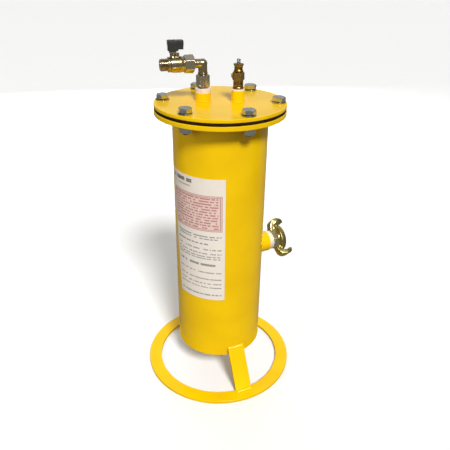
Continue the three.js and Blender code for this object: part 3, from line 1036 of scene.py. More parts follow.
YELLOW = Enamel("yellow_enamel", "yellow_paint")
ZINC = PlatedMetal(
    "zinc_plate", "zinc",
    colour=(0.52, 0.53, 0.48), tarnish=(0.26, 0.26, 0.21), worn=(0.80, 0.80, 0.75),
    low_rough=0.12, high_rough=0.32,
)
NICKEL = PlatedMetal(
    "nickel_plate", "nickel",
    colour=(0.55, 0.47, 0.31), tarnish=(0.26, 0.18, 0.07), worn=(0.76, 0.70, 0.58),
    low_rough=0.13, high_rough=0.3, tarnish_from=0.52,
)
AGED_BRASS = PlatedMetal(
    "aged_brass", "dark_brass",
    colour=(0.42, 0.27, 0.07), tarnish=(0.14, 0.08, 0.022), worn=(0.56, 0.38, 0.12),
    low_rough=0.22, high_rough=0.45,
)
YELLOW_ZINC = PlatedMetal(
    "yellow_zinc_plate", "yellow_zinc",
    colour=(0.61, 0.54, 0.22), tarnish=(0.27, 0.21, 0.07), worn=(0.80, 0.75, 0.50),
    low_rough=0.2, high_rough=0.42, cast_bump=0.35,
)
STAINLESS = PlatedMetal(
    "stainless_steel", "stainless",
    colour=(0.56, 0.57, 0.57), tarnish=(0.44, 0.44, 0.43), low_rough=0.24, high_rough=0.36,
)
RUBBER = Moulded("black_rubber", "rubber", colour=(0.020, 0.010, 0.004), rubbed=(0.05, 0.026, 0.012),
                 grain_mm=0.9, rough=0.8, shine=0.08)
PTFE = Moulded("white_ptfe", "ptfe", colour=(0.82, 0.81, 0.78), rubbed=(0.70, 0.68, 0.62), rough=0.5)
BLACK_PLASTIC = Moulded("black_plastic", "black_plastic", colour=(0.004, 0.006, 0.004),
                        rubbed=(0.014, 0.017, 0.012), rough=0.42, shine=0.2)
FELT = Felt("needled_felt", "felt")
PAPER = PrintedPaper("printed_paper", "paper")
FINISHES = {
    finish.slot: finish
    for finish in (
        YELLOW, ZINC, NICKEL, AGED_BRASS, YELLOW_ZINC, STAINLESS, RUBBER, PTFE, BLACK_PLASTIC, FELT,
        PAPER,
    )
}


# ---------- welds ----------


@dataclass(frozen=True)
class Weld:
    """A hand-laid bead with the ripples of each pool of metal."""

    leg: float = 3.5
    ripple: float = 2.4

    def section(self, share: float, length: float) -> list[Point]:
        """Section of the bead at a share of its length.

        Args:
            share: How far along the bead, from 0 to 1.
            length: The bead's length.

        Returns:
            The section's points.
        """
        phase = share * length / self.ripple
        size = self.leg / 2 * (1 + 0.10 * math.sin(phase * math.tau) + 0.12 * noise.noise((phase, 0, 0)))
        points = []
        for k in range(12):
            angle = k * math.tau / 12
            points.append((size * math.cos(angle), size * math.sin(angle)))
        return points

    def round_axis(
        self, name: str, radius: float, height: float, centre: Point = (0.0, 0.0), steps: int = 240
    ) -> None:
        """Lays a level bead round an upright axis.

        Args:
            name: The piece's name.
            radius: Radius of the bead's middle.
            height: Height of the bead's middle.
            centre: The axis.
            steps: Sections in the full turn.
        """
        path = []
        for k in range(steps):
            angle = math.tau * k / steps
            path.append(Vector((
                centre[0] + radius * math.cos(angle), centre[1] + radius * math.sin(angle), height,
            )))
        self.lay(name, path, Vector((0, 0, 1)), closed=True)

    def lay(self, name: str, path: Sequence[Vector], up: Vector, closed: bool) -> None:
        """Lays a bead along a path and makes it a piece.

        Args:
            name: The piece's name.
            path: Points that the bead follows.
            up: Direction that the section stands in.
            closed: True if the bead meets its own start.
        """
        length = sum((path[i] - path[i - 1]).length for i in range(0 if closed else 1, len(path)))
        shape = Shape().sweep(path, lambda share: self.section(share, length), up, closed)
        shape.piece(name, YELLOW)


# ---------- vessel ----------


@dataclass
class Vessel:
    """The welded tube with its bottom plate, flange, side socket and drain."""

    wall: float = 4.0
    inlet_angle: float = 30.0
    inlet_height: float = 213.3
    inlet_bore: float = 13.5
    inlet_radius: float = 17.0
    band_radius: float = 15.8
    band_start: float = 90.0
    inlet_end: float = 97.5
    bolt_circle: float = 83.0
    bolt_hole: float = 5.5
    bolts: int = 6
    radius: float = field(init=False)
    bottom: float = field(init=False)
    top: float = field(init=False)

    def __post_init__(self) -> None:
        """Reads the tube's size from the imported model."""
        low, high = box_mm("vessel_shell")
        self.radius = high.x
        self.bottom = low.z
        self.top = high.z

    def on_inlet_axis(self) -> Matrix:
        """Where a body made along +Z lies on the inlet's axis."""
        return at(0, 0, self.inlet_height) @ spin(self.inlet_angle) @ lay_down()

    def build(self) -> None:
        """Builds every piece of the vessel."""
        self.build_tube()
        self.build_bottom()
        self.build_flange()
        self.build_inlet_socket()
        self.build_drain()

    def build_tube(self) -> None:
        """The pipe, with the inlet's port cut through its wall."""
        inner = self.radius - self.wall
        rows = 24
        step = (self.top - self.bottom) / rows
        side = [(self.radius, self.bottom + step * k) for k in range(1, rows)]
        outline = [
            *rounded([(inner, self.bottom, 0.5), (self.radius, self.bottom, 0.8),
                      (self.radius, self.bottom + step, 0)])[:-1],
            *side,
            *rounded([(self.radius, self.top - step, 0), (self.radius, self.top, 0.5),
                      (inner, self.top, 0.5)])[1:],
        ]
        tube = Shape().turn(outline, Facets.LARGE)
        port = Shape().turn(
            disc_outline(self.inlet_bore, inner / 2, self.radius + 5, 0), Facets.SMALL,
            self.on_inlet_axis(),
        )
        tube.blend(port, Blend.CUT).piece("shell_tube", YELLOW, stands_for=["vessel_shell"])

    def build_bottom(self) -> None:
        """The round plate welded into the tube's lower end."""
        low, high = box_mm("vessel_bottom")
        drain = box_mm("drain_socket")[1].x - 3.7
        plate = Shape().turn(ring_outline(drain, high.x, low.z, high.z, 0.3), Facets.LARGE)
        plate.piece("bottom_plate", YELLOW, stands_for=["vessel_bottom"])
        Weld(leg=3.2).round_axis("bottom_weld", self.radius - self.wall - 0.4, low.z + 0.5)

    def bolt_holes(self, shape: Shape, bottom: float, top: float) -> Shape:
        """Cuts the bolt holes through a flange.

        Args:
            shape: The flange.
            bottom: Height of its underside.
            top: Height of its upper side.

        Returns:
            The flange with its holes.
        """
        holes = Shape()
        for k in range(self.bolts):
            place = spin(360 / self.bolts * k) @ at(self.bolt_circle, 0)
            holes.turn(disc_outline(self.bolt_hole, bottom - 1, top + 1, 0), Facets.SMALL, place)
        return shape.blend(holes, Blend.CUT)

    def build_flange(self) -> None:
        """The flange ring, its weld to the tube, and the flat gasket on it."""
        low, high = box_mm("body_flange")
        flange = Shape().turn(
            ring_outline(self.radius + 0.3, high.x, low.z, high.z, 0.9), Facets.LARGE
        )
        self.bolt_holes(flange, low.z, high.z)
        flange.piece("flange_ring", YELLOW, stands_for=["body_flange"])
        Weld(leg=3.4).round_axis("flange_weld", self.radius + 0.7, low.z - 0.5)

        low, high = box_mm("flange_gasket")
        gasket = Shape().turn(
            ring_outline(self.radius - self.wall, high.x - 0.3, low.z, high.z, 0.8), Facets.LARGE
        )
        self.bolt_holes(gasket, low.z, high.z)
        for vertex in gasket.bm.verts:
            reach = vertex.co.xy.length
            if reach > high.x - 2:
                vertex.co.xy *= 1 + bump_at(vertex.co, 14, 0.55) / reach - 0.25 / reach
        gasket.piece("gasket_ring", RUBBER, stands_for=["flange_gasket"])

    def build_inlet_socket(self) -> None:
        """The half coupling for the inlet, with its bare turned end, and its weld."""
        outline = rounded([
            (self.inlet_bore, self.radius - self.wall, 0), (self.inlet_radius, self.radius - self.wall, 0),
            (self.inlet_radius, self.band_start, 0.6), (self.band_radius, self.band_start + 0.2, 0.2),
            (self.band_radius, self.inlet_end, 0.8), (self.inlet_bore, self.inlet_end, 0.4),
        ])
        socket = Shape().turn(outline, Facets.FITTING, self.on_inlet_axis())
        saddle = Shape().turn(
            disc_outline(self.radius + 0.3, self.inlet_height - 40, self.inlet_height + 40, 0),
            Facets.LARGE,
        )
        along = (
            math.cos(math.radians(self.inlet_angle)), math.sin(math.radians(self.inlet_angle)), 0.0,
        )
        # The socket's bare end is coloured almost white: partly its turned metal and partly a painted
        # reflection of bright surroundings.
        painted = Enamel(
            "enamel_bare_socket_end_painted_reflection", "yellow_paint",
            steel_with_painted_reflection=(0.95, 0.91, 0.78), stain=(0.84, 0.74, 0.58),
            bare_above_mm=self.band_start - 0.2, bare_along=along,
        )
        socket.blend(saddle, Blend.CUT).piece("inlet_half_coupling", painted, stands_for=["inlet_socket"])

        path = []
        steps = 120
        bead = self.inlet_radius + 0.6
        for k in range(steps):
            angle = math.tau * k / steps
            y, z = bead * math.cos(angle), bead * math.sin(angle)
            reach = math.sqrt((self.radius + 0.5) ** 2 - y * y)
            path.append(spin(self.inlet_angle) @ Vector((reach, y, z + self.inlet_height)))
        Weld(leg=3.2).lay("inlet_weld", path, Vector(along), closed=True)

    def build_drain(self) -> None:
        """The drain socket under the bottom plate, with its seal and plug."""
        low, high = box_mm("drain_socket")
        bore = high.x - 3.7
        socket = Shape().turn(ring_outline(bore, high.x, low.z, high.z, 0.6), Facets.FITTING)
        socket.piece("drain_half_coupling", YELLOW, stands_for=["drain_socket"])
        Weld(leg=3.0).round_axis("drain_weld", high.x + 0.5, high.z - 0.4, steps=120)
        low, high = box_mm("drain_seal")
        seal = Shape().turn(ring_outline(bore, high.x, low.z, high.z, 0.5), Facets.FITTING)
        seal.piece("drain_seal_ring", PTFE, stands_for=["drain_seal"])

        low, high = box_mm("drain_plug")
        head_top = low.z + 8
        plug = Shape().hexagon(22, low.z, head_top, soft=0.93)
        screw = Shape().thread(
            bore - 0.3, HALF_INCH.depth, HALF_INCH.pitch, head_top - 1, high.z
        )
        plug.blend(screw, Blend.JOIN).piece("drain_plug_turned", ZINC, stands_for=["drain_plug"])


# ---------- cover ----------


@dataclass
class Cover:
    """The bolted cover plate with its two welded bosses."""

    vessel: Vessel
    boss_offset: float = 24.8
    bore: float = 6.9
    band_start: dict[str, float] = field(
        default_factory=lambda: {"outlet_boss": 476.5, "relief_boss": 480.4}
    )

    def build(self) -> None:
        """Builds the plate and the bosses."""
        low, high = box_mm("cover_plate")
        plate = Shape().turn(disc_outline(high.x, low.z, high.z, 0.9), Facets.LARGE)
        bores = Shape()
        for side in (-1, 1):
            bores.turn(
                disc_outline(self.bore, low.z - 1, high.z + 1, 0), Facets.SMALL,
                at(side * self.boss_offset, 0),
            )
        self.vessel.bolt_holes(plate, low.z, high.z)
        plate.blend(bores, Blend.CUT).piece("cover_disc", YELLOW, stands_for=["cover_plate"])
        for node, bare in self.band_start.items():
            self.build_boss(node, bare)

    def build_boss(self, node: str, bare: float) -> None:
        """One half coupling with a bare end, standing on the cover.

        Args:
            node: The boss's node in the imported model.
            bare: Height above which it has no paint.
        """
        low, high = box_mm(node)
        centre = (low + high) / 2
        radius = (high.x - low.x) / 2
        outline = rounded([
            (self.bore, low.z, 0), (radius, low.z, 0), (radius, high.z, 0.9), (self.bore, high.z, 0.5),
        ])
        # The bare end keeps the enamel's default near-white bare colour, partly the metal's own and partly
        # a painted reflection.
        painted = Enamel(f"enamel_{node}", "yellow_paint", bare_above_mm=bare)
        Shape().turn(outline, Facets.FITTING, at(centre.x, 0)).piece(
            f"{node}_turned", painted, stands_for=[node]
        )
        Weld(leg=1.7, ripple=1.9).round_axis(
            f"{node}_weld", radius + 0.3, low.z + 0.3, (centre.x, 0.0), steps=120
        )


@dataclass
class CoverBolts:
    """Six hexagon bolts with washers and nuts round the flange."""

    vessel: Vessel
    across: float = 17.0
    shank: float = 4.8
    pitch: float = 1.5
    head_turn: float = 12.0
    nut_turn: float = 25.0

    def build(self) -> None:
        """Builds one bolt, washer and nut, and places each of them six times."""
        low, high = box_mm("cover_bolt_1")
        nut_low, nut_high = box_mm("cover_nut_1")
        washer_low, washer_high = box_mm("cover_washer_1")
        head = washer_high.z + 0.3
        bolt = Shape().hexagon(self.across, head, high.z, soft=0.93)
        plain = disc_outline(self.shank, nut_high.z, head + 1, 0)
        end = nut_high.z + 0.5
        bolt.blend(Shape().turn(plain, Facets.SMALL), Blend.JOIN)
        bolt.blend(Shape().thread(self.shank, 0.75, self.pitch, low.z, end), Blend.JOIN)
        nut = Shape().hexagon(self.across, nut_low.z, nut_high.z, bore=5.1, soft=0.93)
        washer = Shape().turn(
            ring_outline(5.5, 10.0, washer_low.z, washer_high.z, 0.35), Facets.FITTING
        )
        for k in range(self.vessel.bolts):
            circle = spin(360 / self.vessel.bolts * k) @ at(self.vessel.bolt_circle, 0)
            number = k + 1
            bolt.piece(
                f"hex_bolt_{number}", ZINC, stands_for=[f"cover_bolt_{number}"],
                place=circle @ spin(self.head_turn * k),
            )
            washer.piece(
                f"flat_washer_{number}", ZINC, stands_for=[f"cover_washer_{number}"], place=circle
            )
            nut.piece(
                f"hex_nut_{number}", ZINC, stands_for=[f"cover_nut_{number}"],
                place=circle @ spin(self.nut_turn * k),
            )


# ---------- stand ----------


@dataclass
class Stand:
    """The flat foot ring and the two sloping legs that carry the vessel."""

    vessel: Vessel
    ring_inner: float = 104.3
    leg_width: float = 28.0
    leg_thickness: float = 5.0
    leg_angles: dict[str, float] = field(
        default_factory=lambda: {"leg_front": -63.0, "leg_rear": 117.0}
    )

    def build(self) -> None:
        """Builds the ring and the legs."""
        low, high = box_mm("foot_ring")
        outline = ring_outline(self.ring_inner, high.x, low.z, high.z, 0.7)
        ring = Shape().turn(outline, Facets.LARGE)
        ring.piece("foot_ring_flat", YELLOW, stands_for=["foot_ring"])
        for node, angle in self.leg_angles.items():
            self.build_leg(node, angle, high.z)

    def build_leg(self, node: str, angle: float, floor: float) -> None:
        """One flat bar from the tube's foot to the ring, with a weld at each end.

        Args:
            node: The leg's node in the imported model.
            angle: Its direction from the vessel's axis, in degrees.
            floor: Height of the ring's top.
        """
        wall = self.vessel.radius + 0.5
        base = floor + 0.3
        knee = self.vessel.bottom + 10
        foot = self.ring_inner - 2.5
        slope = math.atan2(foot - wall, knee - base)
        out = Vector((math.cos(slope), math.sin(slope))) * self.leg_thickness
        bar = rounded([
            (foot, base, 0.3), (foot + out.x + 0.8, base, 0.3), (foot + out.x, base + out.y, 0.9),
            (wall + out.x, knee + out.y, 0.9), (wall, knee + 4.5, 0.3), (wall, knee, 0.3),
        ])
        stand = spin(angle) @ Matrix.Rotation(math.radians(90), 4, "X")
        half = self.leg_width / 2
        Shape().prism(bar, -half, half, 0.8, stand).piece(f"{node}_bar", YELLOW, stands_for=[node])
        top = [(wall + 0.4, knee + 7.6), (wall + out.x * 0.95, knee + out.y - 0.2)]
        toe = [(foot + out.x + 0.1, base + out.y * 0.9), (foot + out.x + 4.7, base + 0.2)]
        for name, (start, end) in {"top": top, "toe": toe}.items():
            self.build_bead(f"{node}_{name}_weld", Vector(start), Vector(end), stand)

    def build_bead(self, name: str, start: Vector, end: Vector, stand: Matrix) -> None:
        """A broad sloping bead across the bar.

        Args:
            name: The piece's name.
            start: Upper edge of the bead's face, as radius and height.
            end: Lower edge of it.
            stand: Stands the section up at the leg's place.
        """
        half = self.leg_width / 2 - 0.6
        steps = 48
        face = (end - start).normalized()
        back = Vector((-face.y, face.x)) * -1
        if back.x > 0:
            back.negate()
        path = []
        for k in range(steps + 1):
            path.append(stand @ Vector((start.x, start.y, half - 2 * half * k / steps)))
        width = (end - start).length
        side = (stand.to_3x3() @ Vector((face.x, face.y, 0))).normalized()
        into = (stand.to_3x3() @ Vector((back.x, back.y, 0))).normalized()
        along = (path[-1] - path[0]).normalized()
        flip = 1 if along.cross(into).dot(side) > 0 else -1

        def section(share: float) -> list[Point]:
            """A crowned strip whose face ripples along the bead.

            Args:
                share: How far along the bead, from 0 to 1.

            Returns:
                The section's points.
            """
            wave = math.sin(share * 2 * half / 2.6 * math.tau)
            ripple = 0.22 * wave + 0.25 * noise.noise((share * 9, 3, 1))
            ends = min(1.0, 6 * share + 0.35, 6 * (1 - share) + 0.35)
            points = []
            for k in range(9):
                t = k / 8
                crown = (0.9 + ripple) * math.sin(math.pi * t) * ends
                points.append((flip * width * t, -crown))
            points.append((flip * width * 0.85, 1.4))
            points.append((flip * width * 0.15, 1.4))
            return points

        Shape().sweep(path, section, into).piece(name, YELLOW)


# ---------- label ----------


@dataclass
class Label:
    """The printed sheet stuck round the tube."""

    vessel: Vessel
    start: float = -160.0
    slant: float = 15.0
    end: float = -79.5
    print_width: float = 84.0
    thickness: float = 0.3
    columns: int = 60
    rows: int = 80

    def build(self) -> None:
        """Builds the curved sheet, whose left edge slants, and gives it the print's coordinates."""
        low, high = box_mm("data_label")
        inner = self.vessel.radius + 0.3
        height = high.z - low.z
        mesh = bmesh.new()
        layer = mesh.loops.layers.uv.new("sheet")
        grids = []
        for depth in (0.0, self.thickness):
            grid = []
            for j in range(self.rows + 1):
                row = []
                left = self.start + self.slant * (1 - j / self.rows)
                for i in range(self.columns + 1):
                    angle = math.radians(left + (self.end - left) * i / self.columns)
                    radius = inner + depth
                    z = low.z + height * j / self.rows
                    row.append(mesh.verts.new((radius * math.cos(angle), radius * math.sin(angle), z)))
                grid.append(row)
            grids.append(grid)
        size = (self.print_width / self.columns, height / self.rows)
        for depth, grid in enumerate(grids):
            for j in range(self.rows):
                for i in range(self.columns):
                    cells = [(i, j), (i + 1, j), (i + 1, j + 1), (i, j + 1)]
                    if depth == 0:
                        cells.reverse()
                    face = mesh.faces.new([grid[b][a] for a, b in cells])
                    for loop, (a, b) in zip(face.loops, cells):
                        loop[layer].uv = (a * size[0], b * size[1])
        self.close_edge(mesh, *grids)
        shape = Shape()
        shape.bm = mesh
        shape.piece("printed_label", PAPER, stands_for=["data_label"])

    def close_edge(
        self, mesh: bmesh.types.BMesh, back: list[list], front: list[list]
    ) -> None:
        """Joins the sheet's back and front round its edge.

        Args:
            mesh: The sheet's mesh.
            back: Rows of points on its back.
            front: Rows of points on its front.
        """
        for grid_row in (0, self.rows):
            for i in range(self.columns):
                mesh.faces.new([
                    back[grid_row][i], back[grid_row][i + 1], front[grid_row][i + 1], front[grid_row][i],
                ])
        for column in (0, self.columns):
            for j in range(self.rows):
                mesh.faces.new([
                    back[j][column], back[j + 1][column], front[j + 1][column], front[j][column],
                ])


# ---------- claw coupling ----------


@dataclass
class ClawCoupling:
    """The cast air coupling screwed into the inlet, with its two hooked claws."""

    vessel: Vessel
    across: float = 32.0
    start: float = 97.8
    hex_end: float = 107.3
    face: float = 118.0
    seat: float = 120.4
    bore: float = 9.5
    claw_angles: tuple[float, float] = (135.0, 315.0)

    def build(self) -> None:
        """Builds the hexagon end, the cast head and the seal."""
        lie = self.vessel.on_inlet_axis()
        hexagon = Shape().hexagon(self.across, self.start, self.hex_end, self.bore, soft=0.95)
        shank = Shape().thread(
            HALF_INCH.radius, HALF_INCH.depth, HALF_INCH.pitch,
            self.start - 16, self.start + 1, self.bore,
        )
        hexagon.blend(shank, Blend.JOIN)
        hexagon.piece("coupling_hexagon", YELLOW_ZINC, stands_for=["claw_coupling"], place=lie)

        head = Shape().turn(self.head_outline(), Facets.FITTING)
        for angle in self.claw_angles:
            self.add_claw(head, spin(angle))
            self.add_ramp(head, spin(angle + 90))
        head.cast(0.7, 3).roughen(6.0, 0.25)
        head.piece("coupling_head", YELLOW_ZINC, stands_for=["claw_coupling"], place=lie, sharp=60)

        low = self.seat - 2.7
        seal = Shape().turn(
            rounded([
                (10.6, low, 0.3), (14.7, low, 0.3), (14.7, self.seat + 0.3, 0.6),
                (13.4, self.seat + 1.3, 0.5), (10.6, self.seat + 1.3, 0.4),
            ]),
            Facets.FITTING,
        )
        seal.piece("coupling_seal_ring", RUBBER, stands_for=["coupling_seal"], place=lie)

    def head_outline(self) -> list[Point]:
        """Section of the head's round body."""
        return rounded([
            (self.bore, self.hex_end - 1, 0), (15.2, self.hex_end - 1, 0.5), (15.6, self.hex_end + 2, 1),
            (19.5, self.hex_end + 3.6, 1), (21.6, self.hex_end + 6, 1.5), (21.6, self.face, 1.4),
            (16.9, self.face, 0.3), (16.5, self.seat, 0.4), (15, self.seat, 0.4),
            (15, self.seat - 3, 0.2), (self.bore, self.seat - 3, 0.3),
        ])

    def add_claw(self, head: Shape, turn: Matrix) -> None:
        """Adds one claw, which leaves the back of the head and hooks forward over its face.

        Args:
            head: The head that it is added to.
            turn: Turn about the head to the claw.
        """
        stations = [
            (13.0, 105.3, 3.6, 5.5), (19.0, 106.6, 4.2, 6.6), (24.4, 108.9, 4.5, 8.0),
            (27.8, 112.6, 4.6, 9.3), (28.8, 117.6, 4.4, 9.8), (28.4, 122.2, 3.9, 9.6),
            (26.6, 125.9, 3.2, 8.8), (24.0, 127.3, 2.6, 7.8), (22.8, 127.4, 2.2, 7.2),
        ]
        path: list[Vector] = []
        sizes: list[Point] = []
        for first, second in zip(stations, stations[1:]):
            for k in range(4):
                t = k / 4
                values = [a + (b - a) * t for a, b in zip(first, second)]
                path.append(turn @ Vector((values[0], 0, values[1])))
                sizes.append((values[2], values[3]))
        path.append(turn @ Vector((stations[-1][0], 0, stations[-1][1])))
        sizes.append(stations[-1][2:])

        def section(share: float) -> list[Point]:
            """A rounded bar section, thinner towards the tip.

            Args:
                share: How far along the claw, from 0 to 1.

            Returns:
                The section's points.
            """
            thick, wide = sizes[round(share * (len(sizes) - 1))]
            return rounded([
                (-thick, -wide, 1.8), (thick, -wide, 1.8), (thick, wide, 1.8), (-thick, wide, 1.8),
            ], keep=0)

        head.sweep(path, section, turn.to_3x3() @ Vector((0, 1, 0)))

    def add_ramp(self, head: Shape, turn: Matrix) -> None:
        """Adds one of the cams that the mating claws ride up, between the claws.

        Args:
            head: The head that it is added to.
            turn: Turn about the head to the cam.
        """
        path = []
        for k in range(13):
            angle = math.radians(-38 + 76 * k / 12)
            rise = 111.6 - 1.6 * k / 12
            path.append(turn @ Vector((22.2 * math.cos(angle), 22.2 * math.sin(angle), rise)))
        block = rounded([(-1.9, -2.6, 0.9), (1.9, -2.6, 0.9), (1.9, 2.6, 0.9), (-1.9, 2.6, 0.9)], keep=0)
        head.sweep(path, lambda share: block, Vector((0, 0, 1)))


# ---------- outlet ----------


@dataclass
class OutletFitting:
    """The hexagon nipple in the outlet boss and the elbow screwed into it."""

    offset: float = -24.8
    axis_height: float = 515.4
    angle: float = 200.0
    nipple_hex: float = 483.8
    elbow_mouth: float = 500.5
    tube: float = 6.3
    passage: float = 3.6

    def arms(self) -> Matrix:
        """The valve's own frame: its +X is the valve's axis, away from the elbow."""
        return at(self.offset, 0, self.axis_height) @ spin(self.angle)

    def build(self) -> None:
        """Builds the nipple and the elbow."""
        self.build_nipple()
        self.build_elbow()

    def build_nipple(self) -> None:
        """The nipple: a male thread below and a hexagon with a female end above."""
        low, high = box_mm("hex_nipple")
        thread = Shape().thread(
            QUARTER_INCH.radius, QUARTER_INCH.depth, QUARTER_INCH.pitch,
            low.z, self.nipple_hex + 1, 4.0,
        )
        hexagon = Shape().hexagon(17, self.nipple_hex, high.z, 5.3, soft=0.96)
        thread.blend(hexagon, Blend.JOIN)
        thread.piece("nipple_turned", NICKEL, stands_for=["hex_nipple"], place=at(self.offset, 0))

    def build_elbow(self) -> None:
        """The forged elbow, with a bead at each mouth."""
        bottom = self.elbow_mouth - self.axis_height
        elbow = Shape().turn(disc_outline(self.tube, bottom, 0.5, 0.2))
        arm = Shape().turn(disc_outline(self.tube - 0.1, -0.5, 13.0, 0.2), place=lay_down())
        reach = self.tube + 0.1
        quarter = [math.radians(a) for a in range(-90, 91, 6)]
        corner = Shape().turn([(reach * math.cos(a), reach * math.sin(a)) for a in quarter])
        elbow.blend(arm, Blend.JOIN).blend(corner, Blend.JOIN).cast(0.45, 3)
        lip = ring_outline(3.0, self.tube + 0.55, bottom, bottom + 3.2, 0.7)
        elbow.blend(Shape().turn(lip), Blend.JOIN)
        arm_lip = ring_outline(3.0, self.tube + 0.35, 10.2, 12.6, 0.6)
        elbow.blend(Shape().turn(arm_lip, place=lay_down()), Blend.JOIN)
        spigot = disc_outline(5.0, bottom - 8, bottom + 1, 0.3)
        elbow.blend(Shape().turn(spigot), Blend.JOIN)
        screw = Shape().thread(
            QUARTER_INCH.radius, QUARTER_INCH.depth, QUARTER_INCH.pitch, 12.0, 23.0,
            place=lay_down(),
        )
        elbow.blend(screw, Blend.JOIN)
        bore = Shape().turn(disc_outline(self.passage, bottom - 9, 0, 0), Facets.SMALL)
        bore.turn(disc_outline(self.passage, -2, 24, 0), Facets.SMALL, lay_down())
        elbow.blend(bore, Blend.CUT)
        elbow.piece("elbow_forged", NICKEL, stands_for=["outlet_elbow"], place=self.arms())


@dataclass
class BallValve:
    """The small ball valve on the elbow, with its lever."""

    outlet: OutletFitting
    stem_x: float = 41.5
    hex_start: float = 13.2
    hex_end: float = 26.6
    body_end: float = 45.7
    body_radius: float = 10.8
    neck_top: float = 14.5
    mouth: float = 59.6
    thread_radius: float = 8.33
    thread_depth: float = 0.85
    pitch: float = 1.337
    ball_radius: float = 6.6
    lever_bottom: float = 17.9
    lever_step: float = 24.2
    lever_top: float = 31.6

    def build(self) -> None:
        """Builds every piece of the valve."""
        self.build_body()
        self.build_outlet_end()
        self.build_inside()
        self.build_lever()

    def build_body(self) -> None:
        """The body: hexagon, round waist, neck and the lever's stop."""
        body = Shape().hexagon(
            22, self.hex_start, self.hex_end, 6.5, place=lay_down(), soft=0.97
        )
        barrel = rounded([
            (6.5, self.hex_end - 2, 0), (9.9, self.hex_end - 2, 0), (9.9, self.hex_end + 0.8, 0.4),
            (self.body_radius - 0.3, self.hex_end + 2.4, 0.8), (self.body_radius, self.hex_end + 5, 2),
            (self.body_radius, self.body_end - 5, 2), (self.body_radius - 0.9, self.body_end, 0.8),
            (7.4, self.body_end, 0.3), (7.4, 34.3, 0), (6.5, 34.3, 0),
        ])
        body.blend(Shape().turn(barrel, place=lay_down()), Blend.JOIN)
        neck = rounded([
            (2.8, 6, 0), (5.0, 6, 0), (4.9, 10.0, 0.5), (4.0, 11.4, 1.0), (4.0, self.neck_top, 0.4),
            (2.8, self.neck_top, 0.2),
        ])
        body.blend(Shape().turn(neck, place=at(self.stem_x, 0)), Blend.JOIN)
        profile = rounded([
            (-8.5, 8.0, 0), (-3.4, 8.0, 0), (-3.4, self.neck_top - 0.3, 0.2),
            (-5.7, self.neck_top - 0.3, 0.2), (-5.7, self.neck_top + 1, 0.3),
            (-8.5, self.neck_top + 1, 0.5),
        ])
        upright = at(self.stem_x, 0) @ Matrix.Rotation(math.radians(90), 4, "X")
        body.blend(Shape().prism(profile, -2.4, 2.4, 0.4, upright), Blend.JOIN)
        drilled = Shape().turn(disc_outline(2.8, 5, self.neck_top + 1, 0), Facets.SMALL, at(self.stem_x, 0))
        body.blend(drilled, Blend.CUT)
        body.piece("valve_body_forged", NICKEL, stands_for=["valve_body"], place=self.outlet.arms())

    def build_outlet_end(self) -> None:
        """The screwed-in end piece with the male thread."""
        collar = self.body_end + 0.3
        end = Shape().turn(ring_outline(4.0, 10.0, collar, collar + 2.9, 0.6), place=lay_down())
        spigot = ring_outline(7.4, 8.6, 44.6, collar + 0.5, 0.1)
        end.blend(Shape().turn(spigot, place=lay_down()), Blend.JOIN)
        screw = Shape().thread(
            self.thread_radius, self.thread_depth, self.pitch,
            collar + 2.4, self.mouth, 4.0, lay_down(),
        )
        end.blend(screw, Blend.JOIN)
        end.piece(
            "outlet_end_turned", NICKEL, stands_for=["valve_outlet_end"], place=self.outlet.arms()
        )

    def build_inside(self) -> None:
        """The ball, its two seats and the gland nut."""
        arms = self.outlet.arms()
        place = at(self.stem_x, 0)
        half_turn = [
            (self.ball_radius * math.cos(math.radians(a)), self.ball_radius * math.sin(math.radians(a)))
            for a in range(-50, 51, 5)
        ]
        bored = [(4.24, half_turn[0][1]), *half_turn, (4.24, half_turn[-1][1])]
        ball = Shape().turn(bored, Facets.FITTING, place @ lay_down())
        ball.piece("ball_turned", STAINLESS, Body.VALVE_TURN, ["valve_ball"], arms)
        for node, side in (("ball_seat_inlet", -1), ("ball_seat_outlet", 1)):
            middle = self.stem_x + side * 5.9
            seat = Shape().turn(ring_outline(4.9, 7.1, middle - 0.9, middle + 0.9, 0.3), place=lay_down())
            seat.piece(f"{node}_ring", PTFE, stands_for=[node], place=arms)
        gland = Shape().hexagon(9, self.neck_top + 0.3, 17.4, 2.7, place)
        gland.piece("gland_nut_turned", NICKEL, stands_for=["gland_nut"], place=arms)
        stem = Shape().turn(disc_outline(2.4, 6.9, 26.7, 0.3), Facets.SMALL, place)
        stem.blend(Shape().turn(disc_outline(1.8, 22, 28, 0), Facets.SMALL, place), Blend.CUT)
        stem.piece("valve_stem_turned", NICKEL, Body.VALVE_TURN, ["valve_stem"], arms)

    def lever_outline(self, inset: float = 0.0) -> list[Point]:
        """The lever seen from above."""
        nose, tail, side = 7 - inset, -14.6 + inset, 5.5 - inset
        return rounded([
            (nose, -3.6, 1.6), (nose, 3.6, 1.6), (4.6, side, 1.4), (-13.2, side, 1.6),
            (tail, 3.8, 1.2), (tail, -3.8, 1.2), (-13.2, -side, 1.6), (4.6, -side, 1.4),
        ], steps=5)

    def grip(self, bottom: float, top: float) -> Shape:
        """Upright grooves round the lever's end, as one cutting body.

        Args:
            bottom: Height of the lever's underside.
            top: Height of its upper side.

        Returns:
            The cutting body.
        """
        grooves = Shape()
        pitch = 1.9
        places = [(-13.1 + pitch * k, side * 5.65) for k in range(5) for side in (-1, 1)]
        places += [(-14.75, pitch * k) for k in (-1.5, -0.5, 0.5, 1.5)]
        for x, y in places:
            grooves.turn(
                disc_outline(0.55, bottom - 1, top + 1, 0), Facets.WIRE * 2, at(self.stem_x + x, y)
            )
        return grooves

